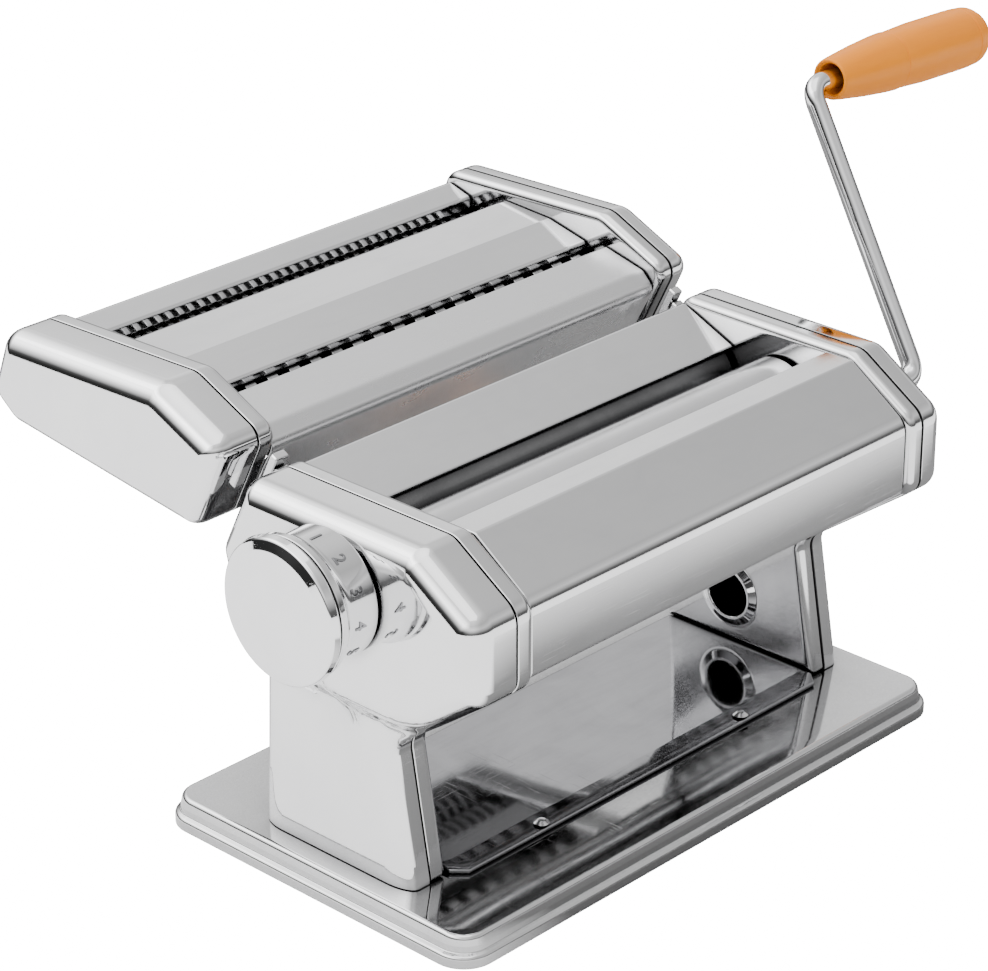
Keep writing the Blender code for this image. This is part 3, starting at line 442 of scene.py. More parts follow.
def paint_hollow_shade(mesh):
    """Gives the faces that look back into a hollow end the second material, a near-black painted shade."""
    count = len(mesh.polygons)
    normals, middles = np.empty(count * 3), np.empty(count * 3)
    mesh.polygons.foreach_get("normal", normals)
    mesh.polygons.foreach_get("center", middles)
    facing = normals[::3] * np.sign(middles[::3])
    hollow = (facing < -0.3) & (np.abs(middles[::3]) > HOLLOW_SHADE_FROM)
    mesh.polygons.foreach_set("material_index", hollow.astype(np.int32))


def piece(name, grids, body, finish, stands_for=(), slot=None, sharp=32.0, holes=(), shade_hollow=False):
    """A shown piece: smooth, with its flats kept flat. Holes are (radius, low x, high x, y, z)."""
    made = bpy.data.objects.new(name, mesh_of(name, grids))
    bpy.context.scene.collection.objects.link(made)
    if holes:
        cut_holes(made, holes)
    made.data.materials.clear()
    made.data.materials.append(finish)
    # Painted shade: faces looking back into the hollow end get the near-black second material.
    if shade_hollow:
        made.data.materials.append(HOLLOW_SHADE)
        paint_hollow_shade(made.data)
    made.data.polygons.foreach_set("use_smooth", np.ones(len(made.data.polygons), bool))
    made.data.set_sharp_from_angle(angle=math.radians(sharp))
    flats = made.modifiers.new("flats", "WEIGHTED_NORMAL")
    flats.keep_sharp = True
    flats.weight = 80
    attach(made, body)
    if stands_for:
        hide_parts(*stands_for)
    return made


def cut_holes(item, holes):
    """Takes round bars along X out of a piece."""
    bars = [turned_grid(((0.0, low), (radius, low), (radius, high), (0.0, high)), (0.0, y, z), 64)
            for radius, low, high, y, z in holes]
    cutter = bpy.data.objects.new("bars", mesh_of("bars", bars))
    bpy.context.scene.collection.objects.link(cutter)
    cut = item.modifiers.new("holes", "BOOLEAN")
    cut.operation = "DIFFERENCE"
    cut.solver = "EXACT"
    cut.use_self = True
    cut.object = cutter
    bpy.context.view_layer.update()
    graph = bpy.context.evaluated_depsgraph_get()
    old = item.data
    item.data = bpy.data.meshes.new_from_object(item.evaluated_get(graph))
    item.modifiers.clear()
    bpy.data.meshes.remove(old)
    bpy.data.objects.remove(cutter)


def turned_grid(profile, centre, steps=96, tilt=0.0):
    """A surface of revolution: each (radius, x) of the profile goes round a line through centre.

    The line runs along +X, turned down by tilt degrees towards -Z."""
    profile = np.array([point[:2] for point in profile], float)
    angle = np.linspace(0.0, 2 * math.pi, steps + 1)
    along = np.array((math.cos(math.radians(tilt)), 0.0, -math.sin(math.radians(tilt))))
    side = np.array((0.0, 1.0, 0.0))
    up = np.cross(along, side)
    rim = np.cos(angle)[:, None] * side + np.sin(angle)[:, None] * up
    return np.array(centre) + profile[:, None, 1:] * along + profile[:, None, :1] * rim


def rounded_profile(corners, steps=6):
    """A profile for a turned piece, with each corner (radius, x, rounding) rounded."""
    return bent_path(corners, steps)


def cup_grid(outline, centre, rim_x, face_x, radius, leg_depth=None):
    """A drawn cup: an outline shrinks by an inset as it climbs from the open rim to the face.

    Inset and height follow a quarter circle at the edge of the face, and the face closes on one point.
    The same path, one wall further in, comes back as the inner side. Where leg_depth is given, the
    depth of the part below the blend drops to it along a smooth step in Z."""
    side = math.copysign(1.0, face_x - rim_x)
    depth = abs(face_x - rim_x)
    foot = min(corner[1] for corner in outline)
    bend = np.linspace(math.pi / 2, 0.0, 11)
    lip = np.linspace(math.pi / 2, 0.0, 4)
    shares = np.array((1.0, 0.85, 0.7, 0.55, 0.42, 0.3, 0.2, 0.12, 0.06, 0.03, 0.012))
    rows = [(radius, depth, share, foot) for share in shares]
    rows += [(radius * (1 - math.cos(a)), depth - radius * (1 - math.sin(a)), 0.0, foot) for a in bend]
    rows += [(0.35 * (1 - math.sin(a)), 0.35 * (1 - math.cos(a)), 0.0, foot) for a in lip]
    inner = max(radius - WALL, 0.6)
    rows += [(WALL - 0.35 * (1 - math.sin(a)), 0.35 * (1 - math.cos(a)), 0.0, foot + WALL) for a in lip[::-1]]
    rows += [(WALL + inner * (1 - math.cos(a)), depth - WALL - inner * (1 - math.sin(a)), 0.0, foot + WALL)
             for a in bend[::-1]]
    rows += [(WALL + inner, depth - WALL, share, foot + WALL) for share in shares[::-1]]
    rings = []
    for inset, height, share, flat in rows:
        ring = closed_ring(outline, inset)
        if leg_depth is not None:
            ring[:, 1] = np.where(ring[:, 1] < foot + inset + FOOT_ROUND, flat, ring[:, 1])
        ring = ring * (1 - share) + np.array(centre) * share
        rings.append(np.column_stack([np.full(len(ring), height), ring]))
    grid = np.stack(rings)
    if leg_depth is not None:
        share = np.clip((grid[..., 2] - LEG_BLEND[0]) / (LEG_BLEND[1] - LEG_BLEND[0]), 0.0, 1.0)
        share = share * share * (3 - 2 * share)
        grid[..., 0] *= (leg_depth + (depth - leg_depth) * share) / depth
    grid[..., 0] = rim_x + side * grid[..., 0]
    return grid


def band_grid(outline, low_x, high_x, outer, inner):
    """A closed band that follows an outline between two insets."""
    rows = ((outer, low_x), (outer, high_x), (inner, high_x), (inner, low_x), (outer, low_x))
    rings = [np.column_stack([np.full(len(ring), x), ring])
             for ring, x in ((closed_ring(outline, inset), x) for inset, x in rows)]
    return np.stack(rings)


def thick_grid(middle, thickness, steps=3):
    """A sheet with rounded edges all round, from its middle surface (rows, columns, 3).

    Each point moves half the thickness along the surface's own normal to both sides, and half circles
    join the two skins along the four edges, which are pulled in so that the sheet keeps its outer size."""
    half = thickness / 2
    middle = middle.copy()

    def unit(vectors):
        return vectors / np.linalg.norm(vectors, axis=-1, keepdims=True)

    along = unit(np.gradient(middle, axis=0))
    across = unit(np.gradient(middle, axis=1))
    middle[0] += half * along[0]
    middle[-1] -= half * along[-1]
    middle[:, 0] += half * across[:, 0]
    middle[:, -1] -= half * across[:, -1]
    normal = unit(np.cross(along, across))
    fall = np.linspace(0.0, math.pi / 2, steps + 1)[1:]
    last = len(middle) - 1
    row = np.concatenate([np.zeros(steps, int), np.arange(last + 1), np.full(steps, last)])
    push = np.concatenate([-np.sin(fall[::-1]), np.zeros(last + 1), np.sin(fall)]) * half
    share = np.concatenate([np.cos(fall[::-1]), np.ones(last + 1), np.cos(fall)]) * half
    share[[0, -1]] = 0.0
    width = middle.shape[1]
    arc = np.linspace(0.0, math.pi, 2 * steps + 1)[1:-1]
    column = np.concatenate([np.arange(width), np.full(len(arc), width - 1), np.arange(width)[::-1],
                             np.zeros(len(arc) + 1, int)])
    lift = np.concatenate([np.ones(width), np.cos(arc), -np.ones(width), -np.cos(arc), [1.0]])
    slide = np.concatenate([np.zeros(width), np.sin(arc), np.zeros(width), -np.sin(arc), [0.0]])
    pick = np.ix_(row, column)
    return (middle[pick] + along[pick] * push[:, None, None] + normal[pick] * (share[:, None] * lift)[...,
                                                                                                      None]
            + across[pick] * (share[:, None] * slide)[..., None])


def sheet_middle(corners, low_x=-74.7, high_x=74.7, columns=2, steps=8):
    """The middle surface of a bent strip: its (y, z) path drawn out along X."""
    path = bent_path(corners, steps)
    across = np.linspace(low_x, high_x, columns)
    middle = np.empty((len(path), columns, 3))
    middle[..., 0] = across
    middle[..., 1:] = path[:, None]
    return middle


def sheet(name, corners, body, finish, thickness=1.0, low_x=-74.7, high_x=74.7, **more):
    return piece(name, [thick_grid(sheet_middle(corners, low_x, high_x), thickness)], body, finish, **more)


def tube_grid(path, radius, plane, steps=40):
    """A round bar along a path in one plane: a circle across the path at each point, closed at both ends."""
    along = np.gradient(path, axis=0)
    along /= np.linalg.norm(along, axis=1, keepdims=True)
    side = np.cross(plane, along)
    soft = np.linspace(0.0, math.pi / 2, 4)
    edge = 0.6
    radii = np.concatenate([[0.0], radius - edge * (1 - np.sin(soft)), np.full(len(path) - 2, radius),
                            (radius - edge * (1 - np.sin(soft)))[::-1], [0.0]])
    shift = np.concatenate([[0.0], edge * (1 - np.cos(soft)), np.zeros(len(path) - 2),
                            (-edge * (1 - np.cos(soft)))[::-1], [0.0]])
    pick = np.concatenate([np.zeros(5, int), np.arange(1, len(path) - 1), np.full(5, len(path) - 1)])
    angle = np.linspace(0.0, 2 * math.pi, steps + 1)
    middle = path[pick] + along[pick] * shift[:, None]
    rim = np.cos(angle)[None, :, None] * side[pick][:, None] + np.sin(angle)[None, :, None] * np.array(plane)
    return middle[:, None] + radii[:, None, None] * rim


# ---------------------------------------------------------------- base

def base_grid():
    """A shallow tray: a rounded rectangle climbs a lower wall, a ledge and an upper wall to its top."""
    outline = [(97.8, 57.5, 9.5), (-97.8, 57.5, 9.5), (-97.8, -57.5, 9.5), (97.8, -57.5, 9.5)]
    levels = bent_path([(1.2, 0.3), (0.0, 0.3, 0.3), (0.0, 3.6, 1.2), (1.6, 4.3, 0.5), (1.7, 6.1, 0.5),
                        (2.3, 9.0, 1.6), (6.0, 9.0, 0.0), (12.0, 9.0)], 6)
    under = bent_path([(12.0, 7.8), (6.0, 7.8, 0.0), (3.6, 7.8, 0.6), (2.9, 4.9, 0.5), (1.2, 4.2, 0.6),
                       (1.2, 0.3)], 4)
    rows = [(inset, z, 0.0) for inset, z in levels[1:]] + [(12.0, 9.0, 0.5), (12.0, 9.0, 1.0)]
    rows += [(12.0, 7.8, 1.0), (12.0, 7.8, 0.5)] + [(inset, z, 0.0) for inset, z in under]
    rings = []
    for inset, z, share in rows:
        ring = closed_ring(outline, inset, 12, 12.0) * (1 - share)
        rings.append(np.column_stack([ring, np.full(len(ring), z)]))
    rings.append(rings[0])
    return np.stack(rings)


piece("base_plate", [base_grid()], "machine_body", BASE, ("base_plate",), "polished_steel")


def tie_middle():
    """The strip between the legs: a sheet path along Y whose front corners round off."""
    path = bent_path([(24.5, 10.05), (-26.5, 10.05, 6.0), (-33.4, 9.75)], 10)
    across = np.linspace(-1.0, 1.0, 41)
    round_off = np.clip((np.abs(across) * 74.7 - 70.7) / 4.0, 0.0, 1.0)
    pull = 4.0 * (1 - np.sqrt(1 - round_off ** 2))
    middle = np.empty((len(path), len(across), 3))
    middle[..., 0] = across * 74.7
    share = np.clip((-20.0 - path[:, :1]) / 13.4, 0.0, 1.0)
    middle[..., 1] = path[:, :1] + share * pull
    middle[..., 2] = path[:, 1:]
    return middle


# Painted shade: the tie plate takes the darkened copy of the polished steel.
piece("tie_plate", [thick_grid(tie_middle(), 1.4)], "machine_body", TIE, ("tie_plate",), "polished_steel")
for word, x in (("left", -41.0), ("right", 41.0)):
    dome = rounded_profile([(0.0, 12.0), (1.1, 11.9, 0.5), (2.2, 11.1)], 6)
    angle = np.linspace(0.0, 2 * math.pi, 49)
    dome = np.concatenate([dome, [(0.0, 11.1)]])
    grid = np.stack([x + dome[:, :1] * np.cos(angle), -31.0 + dome[:, :1] * np.sin(angle),
                     dome[:, 1:] + 0 * angle], axis=-1)
    piece(f"tie_rivet_{word}", [grid], "machine_body", ROLLER, (f"tie_rivet_{word}",), "ground_steel")


# ---------------------------------------------------------------- ends of the body

FRAME_HOLES = ((7.3, 14.4, 91.5), (8.4, -12.9, 91.5), (7.2, 2.0, 25.5))
for name, rim, face in (("left_frame", LEFT_RIM, -HALF), ("right_frame", RIGHT_RIM, HALF)):
    low, high = sorted((face - math.copysign(1.0, face) * 2.0, face + math.copysign(1.0, face) * 3.2))
    holes = [(radius, low, high, y, z) for radius, y, z in FRAME_HOLES]
    piece(name, [cup_grid(BODY_OUTLINE, BODY_CENTRE, rim, face, 2.5)], "machine_body", FRAME, (name,),
          "polished_steel", holes=holes, shade_hollow=True)

piece("left_cover", [cup_grid(BODY_OUTLINE, BODY_CENTRE, LEFT_COVER_RIM, LEFT_FACE, 7.5, LEG_DEPTH)],
      "machine_body", POLISHED, ("left_cover",), "polished_steel", shade_hollow=True,
      holes=[(5.0, -99.0, -93.0, KNOB_Y, KNOB_Z)])
piece("right_cover", [cup_grid(BODY_OUTLINE, BODY_CENTRE, RIGHT_COVER_RIM, RIGHT_FACE, 5.0, LEG_DEPTH)],
      "machine_body", POLISHED, ("right_cover",), "polished_steel", shade_hollow=True,
      holes=[(6.2, 86.0, 92.0, -5.0, 72.0)])
for name, low, high, outline, body in (
        ("left_seam_band", -82.8, -79.6, BODY_OUTLINE, "machine_body"),
        ("right_seam_band", 78.6, 81.8, BODY_OUTLINE, "machine_body"),
        ("cutter_left_seam_band", -82.8, -79.6, CUTTER_OUTLINE, "cutter_head"),
        ("cutter_right_seam_band", 78.6, 81.8, CUTTER_OUTLINE, "cutter_head")):
    piece(name, [band_grid(outline, low, high, WALL + 0.1, WALL + 0.8)], body, RUBBER)

for word, x, side in (("left", -HALF, 1.0), ("right", HALF, -1.0)):
    collar = rounded_profile([(7.1, x - side * 1.0), (7.1, x + side * 1.3, 0.4), (8.0, x + side * 1.3, 0.5),
                              (10.2, x + side * 0.05, 1.0), (11.0, x + side * 0.02), (11.0, x - side * 1.0),
                              (7.1, x - side * 1.0)], 6)
    piece(f"clamp_collar_{word}", [turned_grid(collar, (0.0, 2.0, 25.5))], "machine_body", POLISHED)


# ---------------------------------------------------------------- panels and tie rods

sheet("front_panel", [(-30.0, 110.5), (-39.1, 110.5, 1.5), (-57.9, 97.6, 6.0),
                      (-57.9, 78.0, 1.5), (-54.5, 75.4)], "machine_body", PANEL,
                      stands_for=("front_panel",), slot="polished_steel")
sheet("hopper_plate", [(3.5, 102.5), (22.0, 110.5, 1.0), (24.5, 106.0)], "machine_body", PANEL,
      stands_for=("hopper_plate",), slot="polished_steel")
sheet("rear_panel", [(24.9, 104.9), (31.2, 91.0, 3.0), (26.5, 71.0)], "machine_body", PANEL,
      stands_for=("rear_panel",), slot="polished_steel")
sheet("front_scraper", [(-17.55, 77.75), (-24.55, 73.25)], "machine_body", ROLLER, 0.8,
      stands_for=("front_scraper",), slot="ground_steel")
sheet("rear_scraper", [(17.95, 77.75), (24.95, 73.25)], "machine_body", ROLLER, 0.8,
      stands_for=("rear_scraper",), slot="ground_steel")
for name, y, z in (("front_tie_rod", -47.0, 86.0), ("rear_tie_rod", 20.0, 70.0),
                   ("lower_tie_rod", -40.0, 76.0)):
    bar = rounded_profile([(0.0, -74.7), (2.5, -74.7, 0.4), (2.5, 74.7, 0.4), (0.0, 74.7)])
    piece(name, [turned_grid(bar, (0.0, y, z), 40)], "machine_body", ROLLER, (name,), "ground_steel")


# ---------------------------------------------------------------- rollers

for name, y, right_end in ROLLER_ROWS:
    body = f"{name}_set"
    profile = rounded_profile([(0.0, -79.5), (4.0, -79.5, 0.4), (4.0, -73.8, 0.3),
                               (ROLLER_RADIUS, -73.8, 0.5), (ROLLER_RADIUS, 73.8, 0.5),
                               (4.0, 73.8, 0.3), (4.0, right_end, 0.4), (0.0, right_end)])
    # Painted shade: the rear roller takes the darker copy of the roller steel.
    finish = SHADED_ROLLER if name == "rear_roller" else ROLLER
    piece(name, [turned_grid(profile, (0.0, y, ROLLER_Z), 128)], body, finish, (name,), "ground_steel")


# ---------------------------------------------------------------- crank

def crank_path():
    """Straight runs joined by quadratic bends: out along X, up the tilted arm, and out again to the grip."""
    tilt, droop = math.radians(CRANK_TILT), math.radians(GRIP_DROOP)
    arm = np.array((0.0, math.sin(tilt), math.cos(tilt)))
    outward_way = np.array((math.cos(droop), 0.0, -math.sin(droop)))
    high = CRANK_LOW + arm * CRANK_ARM
    runs = [np.array([(83.2, -5.0, 72.0), (100.0, -5.0, 72.0), (125.0, -5.0, 72.0)])]
    share = np.linspace(0.0, 1.0, 15)[:, None]
    for corner, go_in, go_out in ((CRANK_LOW, np.array((1.0, 0.0, 0.0)), arm), (high, arm, outward_way)):
        begin, end = corner - go_in * 6.0, corner + go_out * 6.0
        runs.append((1 - share) ** 2 * begin + 2 * share * (1 - share) * corner + share ** 2 * end)
        if corner is CRANK_LOW:
            runs.append(end + (high - arm * 6.0 - end) * np.linspace(0.1, 0.9, 7)[:, None])
    runs.append(high + outward_way * np.array((12.0, 18.0, 24.0, 29.0))[:, None])
    plane = np.cross((1.0, 0.0, 0.0), arm)
    return np.concatenate(runs), plane, high


ROD_PATH, ROD_PLANE, GRIP_START = crank_path()
piece("crank_rod", [tube_grid(ROD_PATH, ROD_RADIUS, ROD_PLANE, 48)], "crank", CHROME, ("crank_rod",),
      "polished_steel")
socket = rounded_profile([(3.4, 82.7), (5.2, 82.7, 0.3), (5.2, 91.6, 0.6), (3.4, 91.6, 0.4), (3.4, 82.7)])
piece("crank_socket", [turned_grid(socket, (0.0, -5.0, 72.0), 64)], "crank_drive", ROLLER, ("crank_socket",),
      "ground_steel")


def grip_profile():
    """(radius, distance) along the grip: a slim hollow end, a swell, two grooves and a rounded far end."""
    return rounded_profile([
        (3.4, 30.0), (3.4, 19.0, 0.3), (4.6, 17.0, 0.6), (4.7, 10.2, 0.8), (5.6, 9.0, 0.5), (6.3, 9.3, 0.9),
        (6.75, 12.0, 3.0), (8.1, 23.0, 12.0), (8.95, 33.0, 9.0), (9.1, 36.6, 0.25), (8.55, 36.9, 0.15),
        (8.85, 37.3, 0.25), (9.45, 50.0, 25.0), (9.5, 68.5, 6.0), (9.42, 72.2, 0.3), (9.05, 72.5, 0.15),
        (9.35, 72.9, 0.3), (9.1, 76.4, 3.0), (7.7, 79.0, 1.2), (4.9, 79.0, 0.3), (4.6, 78.4, 0.2),
        (4.6, 30.0),
        (3.4, 30.0)], 8)


piece("crank_grip", [turned_grid(grip_profile(), GRIP_START, 96, GRIP_DROOP)], "grip", ORANGE,
      ("crank_grip",),
      "orange_plastic")
plug = rounded_profile([(0.0, 79.8), (3.3, 79.6, 2.0), (4.2, 78.8, 0.5), (4.2, 75.0, 0.2), (0.0, 75.0)])
piece("grip_plug", [turned_grid(plug, GRIP_START, 64, GRIP_DROOP)], "grip", ORANGE, ("grip_plug",),
      "orange_plastic")


# ---------------------------------------------------------------- gap knob

KNOB_AXIS = (0.0, KNOB_Y, KNOB_Z)
dial = rounded_profile([(4.3, -100.6), (7.3, -97.6, 0.4), (17.4, -97.6, 0.8), (17.3, -108.2, 4.0),
                        (19.3, -110.0, 0.9),
                        (19.3, -112.0, 0.35), (8.3, -112.0, 0.2), (8.3, -110.5, 0.2), (4.3, -110.5, 0.2),
                        (4.3, -100.6)], 10)
piece("knob_dial", [turned_grid(dial, KNOB_AXIS, 128)], "knob", POLISHED, ("knob_dial",), "polished_steel")
cap = rounded_profile([(0.0, -112.6), (19.1, -112.6, 0.3), (20.0, -113.3, 0.6), (19.5, -115.6, 1.2),
                       (16.6, -116.8, 3.0),
                       (13.0, -117.35, 5.0), (0.0, -117.5)], 12)
piece("knob_cap", [turned_grid(cap, KNOB_AXIS, 128)], "knob", CHROME, ("knob_cap",), "polished_steel")
seal = rounded_profile([(8.5, -111.8), (18.7, -111.8, 0.1), (18.7, -112.55, 0.1), (8.5, -112.55),
                        (8.5, -111.8)])
piece("knob_seal", [turned_grid(seal, KNOB_AXIS, 96)], "knob", RUBBER)
shaft = rounded_profile([(0.0, -84.0), (8.0, -84.0, 0.4), (8.0, -86.5, 0.4), (4.0, -86.5, 0.3),
                         (4.0, -109.5, 0.5),
                         (0.0, -109.5)])
piece("cam_shaft", [turned_grid(shaft, KNOB_AXIS, 64)], "knob_shaft", ROLLER, ("cam_shaft",), "ground_steel")


def spring_path_grid():
    """A round wire on a helix of 4.5 turns about the knob's axis."""
    turn = np.linspace(0.0, 9 * math.pi, 271)
    low, high = -94.6, -87.7
    x = low + (high - low) * turn / turn[-1]
    middle = np.stack([x, KNOB_Y + 6.6 * np.cos(turn), KNOB_Z + 6.6 * np.sin(turn)], axis=1)
    out = np.stack([0 * turn, np.cos(turn), np.sin(turn)], axis=1)
    angle = np.linspace(0.0, 2 * math.pi, 17)
    radii = np.concatenate([[0.0], np.full(len(turn), 0.5), [0.0]])
    pick = np.concatenate([[0], np.arange(len(turn)), [len(turn) - 1]])
    rim = np.cos(angle)[None, :, None] * out[pick][:, None] + np.sin(angle)[None, :,
                                                                            None] * np.array((1.0, 0.0, 0.0))
    return middle[pick][:, None] + radii[:, None, None] * rim


piece("knob_spring", [spring_path_grid()], "knob_shaft", ROLLER, ("knob_spring",), "ground_steel", sharp=60.0)


def dial_digits():
    """Raised digits on the dial's skirt: flat letters bent so that their width goes round the knob's axis."""
    graph = bpy.context.evaluated_depsgraph_get
    parts, faces, start = [], [], 0
    for index, digit in enumerate("1234567"):
        text = bpy.data.curves.new("digit", "FONT")
        text.body = digit
        text.size = 5.2
        text.extrude = 0.18
        text.bevel_depth = 0.07
        text.bevel_resolution = 2
        text.align_x = "CENTER"
        text.align_y = "CENTER"
        flat = bpy.data.objects.new("digit", text)
        bpy.context.scene.collection.objects.link(flat)
        bpy.context.view_layer.update()
        mesh = bpy.data.meshes.new_from_object(flat.evaluated_get(graph()))
        points = np.empty(len(mesh.vertices) * 3)
        mesh.vertices.foreach_get("co", points)
        points = points.reshape(-1, 3)
        turn = math.radians(96.0 + 30.0 * index) + points[:, 0] / 17.4
        radius = 17.34 + points[:, 2]
        parts.append(np.stack([-104.0 + points[:, 1], KNOB_Y + radius * np.cos(turn),
                               KNOB_Z + radius * np.sin(turn)],
                              axis=1) * MM)
        faces += [[vertex + start for vertex in face.vertices] for face in mesh.polygons]
        start += len(points)
        bpy.data.objects.remove(flat)
        bpy.data.meshes.remove(mesh)
    made = bpy.data.meshes.new("dial_digits")
    made.from_pydata(np.concatenate(parts), [], faces)
    made.materials.append(TIE)
    made.polygons.foreach_set("use_smooth", np.ones(len(made.polygons), bool))
    made.set_sharp_from_angle(angle=math.radians(40.0))
    item = bpy.data.objects.new("dial_digits", made)
    bpy.context.scene.collection.objects.link(item)
    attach(item, "knob")


dial_digits()


# ---------------------------------------------------------------- cutter

for name, rim, face, radius in (("cutter_left_frame", LEFT_RIM, -HALF, 2.5),
                                ("cutter_right_frame", RIGHT_RIM, HALF, 2.5),
                                ("cutter_left_cover", LEFT_COVER_RIM, CUTTER_LEFT_FACE, 7.5),
                                ("cutter_right_cover", RIGHT_COVER_RIM, CUTTER_RIGHT_FACE, 5.0)):
    holes = []
    if name.endswith("frame"):
        low, high = sorted((face - math.copysign(1.0, face) * 2.0, face + math.copysign(1.0, face) * 3.2))
        holes = [(3.8, low, high, nip + side * BLADE_OFFSET, BLADE_Z) for nip in (101.0,
                                                                                  56.0) for side in (-1, 1)]
    if name == "cutter_right_cover":
        holes = [(5.2, 84.6, 90.6, y, BLADE_Z) for y in (107.95, 62.95)]
    finish = FRAME if name.endswith("frame") else POLISHED
    piece(name, [cup_grid(CUTTER_OUTLINE, CUTTER_CENTRE, rim, face, radius)], "cutter_head", finish, (name,),
          "polished_steel", holes=holes, shade_hollow=True)

CUTTER_PANELS = {
    "cutter_rear_panel": [(106.3, 117.6), (106.3, 121.0, 0.8), (115.2, 123.6, 2.0), (120.5, 109.1, 2.0),
                          (118.9, 104.9)],
    "cutter_centre_panel": [(95.7, 117.6), (95.7, 121.2, 0.8), (91.2, 123.4, 1.5), (74.0, 122.4, 1.5),
                            (59.9, 119.1, 0.7), (59.9, 117.0)],
    "cutter_front_panel": [(52.1, 117.2), (52.1, 119.6, 0.7), (37.5, 116.1, 3.0), (33.4, 112.0, 3.0),
                           (41.1, 97.9)],
    "cutter_brace": [(70.0, 98.5), (87.0, 100.0)],
}
for name, corners in CUTTER_PANELS.items():
    finish = SATIN if name == "cutter_front_panel" else PANEL
    sheet(name, corners, "cutter_head", finish, stands_for=(name,), slot="polished_steel")
bar = rounded_profile([(0.0, -74.7), (2.5, -74.7, 0.4), (2.5, 74.7, 0.4), (0.0, 74.7)])
piece("cutter_tie_rod", [turned_grid(bar, (0.0, 78.5, 109.0), 40)], "cutter_head", ROLLER,
      ("cutter_tie_rod",),
      "ground_steel")


def blade_profile(width, first):
    """Discs of one cutting width, with a groove of the same width between two of them."""
    pitch = 2 * width
    start = -72.0 + first * width
    low = start + pitch * np.arange(int(144 / pitch)) + 0.15
    high = low + width - 0.3
    core, tip = np.full(len(low), BLADE_CORE), np.full(len(low), BLADE_RADIUS)
    discs = np.stack([np.stack([core, low], 1), np.stack([tip - 0.12, low], 1),
                      np.stack([tip, low + 0.12], 1),
                      np.stack([tip, high - 0.12], 1), np.stack([tip - 0.12, high], 1),
                      np.stack([core, high], 1)], 1)
    ends = [[(0.0, -78.2), (3.5, -78.2), (3.5, -74.2), (BLADE_CORE, -74.2)],
            [(BLADE_CORE, 74.2), (3.5, 74.2), (3.5, 81.6), (0.0, 81.6)]]
    return np.concatenate([ends[0], discs.reshape(-1, 2), ends[1]])


for word, nip, width in (("narrow", 101.0, 2.0), ("wide", 56.0, 4.0)):
    for first, (place, side) in enumerate((("front", -1), ("rear", 1))):
        name = f"{word}_{place}_blades"
        piece(name, [turned_grid(blade_profile(width, first), (0.0, nip + side * BLADE_OFFSET, BLADE_Z), 56)],
              f"{word}_{place}", BLADE, (name,), "ground_steel")


def slab_grid(corners, low_x, high_x, edge=0.3):
    """A flat outline in (y, z) drawn out along X, with its long edges rounded and its two ends softened."""
    rings = []
    for x, inset, share in ((low_x, edge, 1.0), (low_x, edge, 0.0), (low_x + edge, 0.0, 0.0),
                            (high_x - edge, 0.0, 0.0), (high_x, edge, 0.0), (high_x, edge, 1.0)):
        ring = closed_ring([(*corner, 0.5) for corner in corners], inset, 5, 6.0)
        ring = ring * (1 - share) + ring.mean(axis=0) * share
        rings.append(np.column_stack([np.full(len(ring), x), ring]))
    return np.stack(rings)


SLANT = np.array((-0.438836, 0.898567))
ACROSS = np.array((SLANT[1], -SLANT[0]))
FOOT = np.array((33.0, 91.0))
for word, low_x, high_x in (("left", -80.2, -75.6), ("right", 75.6, 79.2)):
    for name, near, far, start, end in ((f"guide_rail_{word}", 0.3, 2.6, 4.5, 19.0),
                                        (f"cutter_hook_{word}", 2.9, 5.4, 2.5, 22.0)):
        corners = [FOOT + SLANT * s + ACROSS * t for s, t in ((start, near), (start, far), (end, far),
                                                              (end, near))]
        body = "cutter_head" if name.startswith("cutter") else "machine_body"
        piece(name, [slab_grid([tuple(corner) for corner in corners], low_x, high_x)], body, POLISHED,
              (name,),
              "polished_steel")


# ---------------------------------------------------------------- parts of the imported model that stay

for name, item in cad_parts.items():
    if item.hide_render:
        continue
    finish = ROLLER
    if name.endswith("gear"):
        finish = GEAR
    elif "bush" in name:
        finish = NYLON
    elif "liner" in name:
        finish = RUBBER
    item.data.materials.clear()
    item.data.materials.append(finish)


# ---------------------------------------------------------------- studio

WHITE_GLOW = 18.0
MIRRORED_GLOW = 0.8


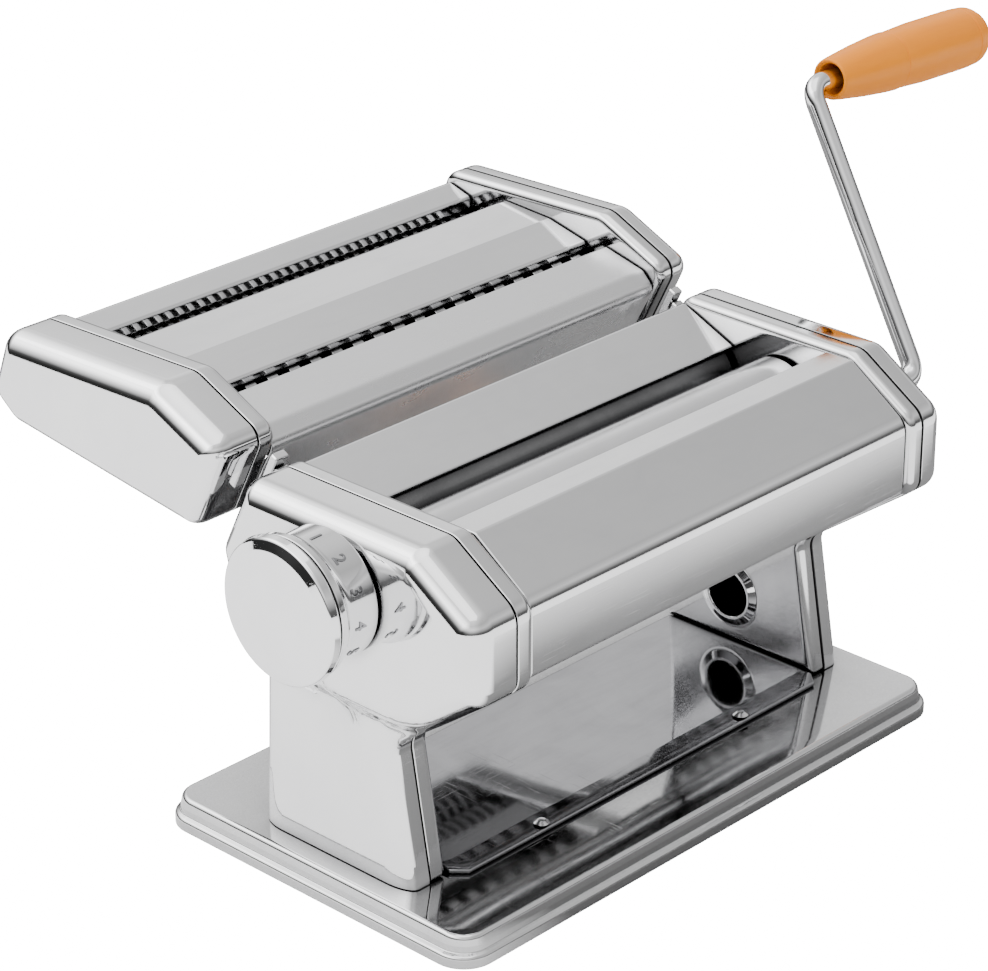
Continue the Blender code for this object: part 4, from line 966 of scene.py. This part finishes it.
def studio_floor():
    """A wide pale floor. Looked at directly it is near white. Reflections see it bright,
    with a dark card lying in front of the machine."""
    made, tree, shader = new_material("studio_floor")
    place = add(tree, "ShaderNodeTexCoord").outputs["Object"]
    speck = add(tree, "ShaderNodeTexNoise", {"Vector": place, "Scale": 3.0, "Detail": 2.0})
    pale = mixed(tree, speck.outputs["Fac"], (0.8, 0.8, 0.8), (0.84, 0.84, 0.84))
    shader.inputs["Roughness"].default_value = 0.9
    shader.inputs["Specular IOR Level"].default_value = 0.0
    split = add(tree, "ShaderNodeSeparateXYZ", {"Vector": place})
    card = add(tree, "ShaderNodeMapRange", {"Value": split.outputs["Y"], "From Min": -0.2, "From Max": -0.165,
                                            "To Min": 1.0, "To Max": 0.15}).outputs["Result"]
    left = add(tree, "ShaderNodeMapRange", {"Value": split.outputs["X"], "From Min": -0.09, "From Max": -0.05,
                                            "To Min": 1.0, "To Max": 0.0}).outputs["Result"]
    clear = maths(tree, "MAXIMUM", card, left)
    rays = add(tree, "ShaderNodeLightPath")
    camera = maths(tree, "MULTIPLY", rays.outputs["Is Camera Ray"], WHITE_GLOW)
    shade = maths(tree, "SUBTRACT", 1.0, clear)
    hidden = maths(tree, "MULTIPLY", rays.outputs["Is Glossy Ray"], shade)
    dim = add(tree, "ShaderNodeMix", {"Factor": hidden}, data_type="RGBA")
    tree.links.new(pale, dim.inputs[6])
    dim.inputs[7].default_value = (0.05, 0.05, 0.05, 1.0)
    tree.links.new(dim.outputs[2], shader.inputs["Base Color"])
    mirror = maths(tree, "SUBTRACT", rays.outputs["Is Glossy Ray"], hidden)
    tree.links.new(maths(tree, "ADD", camera, maths(tree, "MULTIPLY", mirror, MIRRORED_GLOW)),
                   shader.inputs["Emission Strength"])
    shader.inputs["Emission Color"].default_value = (1.0, 1.0, 1.0, 1.0)
    mesh = bpy.data.meshes.new("studio_floor")
    mesh.from_pydata([(-12.0, -12.0, 0.0), (12.0, -12.0, 0.0), (12.0, 12.0, 0.0), (-12.0, 12.0, 0.0)], [],
                     [(0, 1, 2, 3)])
    mesh.materials.append(made)
    floor = bpy.data.objects.new("studio_floor", mesh)
    bpy.context.scene.collection.objects.link(floor)


def studio_world():
    """Soft light from all round: dark near the horizon, bright overhead, a white band at the left and back."""
    world = bpy.data.worlds.new("studio")
    world.use_nodes = True
    bpy.context.scene.world = world
    tree = world.node_tree
    back = tree.nodes["Background"]
    way = add(tree, "ShaderNodeTexCoord").outputs["Generated"]
    split = add(tree, "ShaderNodeSeparateXYZ", {"Vector": way})
    height = split.outputs["Z"]
    climb = ramp(tree, height, ((0.0, 0.1), (0.12, 0.12), (0.28, 0.5), (0.4, 0.8), (0.62, 0.55), (0.8, 0.7),
                                (1.0, 1.0)))
    leftward = maths(tree, "SUBTRACT", maths(tree, "MULTIPLY", split.outputs["Y"], 0.7),
                     maths(tree, "MULTIPLY", split.outputs["X"], 0.7))
    side = ramp(tree, leftward, ((0.15, 0.0), (0.6, 1.0)))
    low = ramp(tree, height, ((0.22, 1.0), (0.42, 0.0)))
    shade = maths(tree, "MULTIPLY", side, low)
    band = ramp(tree, height, ((0.42, 0.0), (0.58, 1.0), (0.72, 1.0), (0.85, 0.0)))
    white = maths(tree, "MULTIPLY", maths(tree, "MULTIPLY", side, band), 1.6)
    right = ramp(tree, maths(tree, "MULTIPLY", leftward, -1.0), ((0.05, 1.0), (0.5, 0.6)))
    level = maths(tree, "MULTIPLY", maths(tree, "MULTIPLY", climb, right),
                  maths(tree, "SUBTRACT", 1.0, maths(tree, "MULTIPLY", shade, 0.85)))
    seen = add(tree, "ShaderNodeLightPath").outputs["Is Camera Ray"]
    total = maths(tree, "MULTIPLY", maths(tree, "ADD", level, white), 2.0)
    white_seen = maths(tree, "MULTIPLY", seen, WHITE_GLOW)
    tree.links.new(maths(tree, "ADD", total, white_seen), back.inputs["Strength"])
    back.inputs["Color"].default_value = (1.0, 1.0, 1.0, 1.0)


def area_light(name, place, target, width, height, power):
    light = bpy.data.lights.new(name, "AREA")
    light.shape = "RECTANGLE"
    light.size, light.size_y, light.energy = width, height, power
    item = bpy.data.objects.new(name, light)
    item.location = place
    item.rotation_euler = (Vector(target) - Vector(place)).to_track_quat("-Z", "Y").to_euler()
    bpy.context.scene.collection.objects.link(item)


def studio_camera():
    """A long lens above the left front corner."""
    camera = bpy.data.cameras.new("camera")
    camera.sensor_width = 36.0
    camera.lens = 132.34
    camera.shift_x = -0.01275
    camera.shift_y = 0.0009
    camera.clip_start = 0.01
    item = bpy.data.objects.new("camera", camera)
    turn, rise = math.radians(-46.63), math.radians(25.11)
    away = Vector((math.sin(turn) * math.cos(rise), -math.cos(turn) * math.cos(rise), math.sin(rise)))
    item.location = (-0.6553, -0.5985, 0.5015)
    item.rotation_euler = (-away).to_track_quat("-Z", "Y").to_euler()
    bpy.context.scene.collection.objects.link(item)
    bpy.context.scene.camera = item


studio_floor()
studio_world()
area_light("overhead_softbox", (-0.5, 0.5, 2.4), (0.0, 0.0, 0.08), 3.0, 3.0, 30.0)
studio_camera()
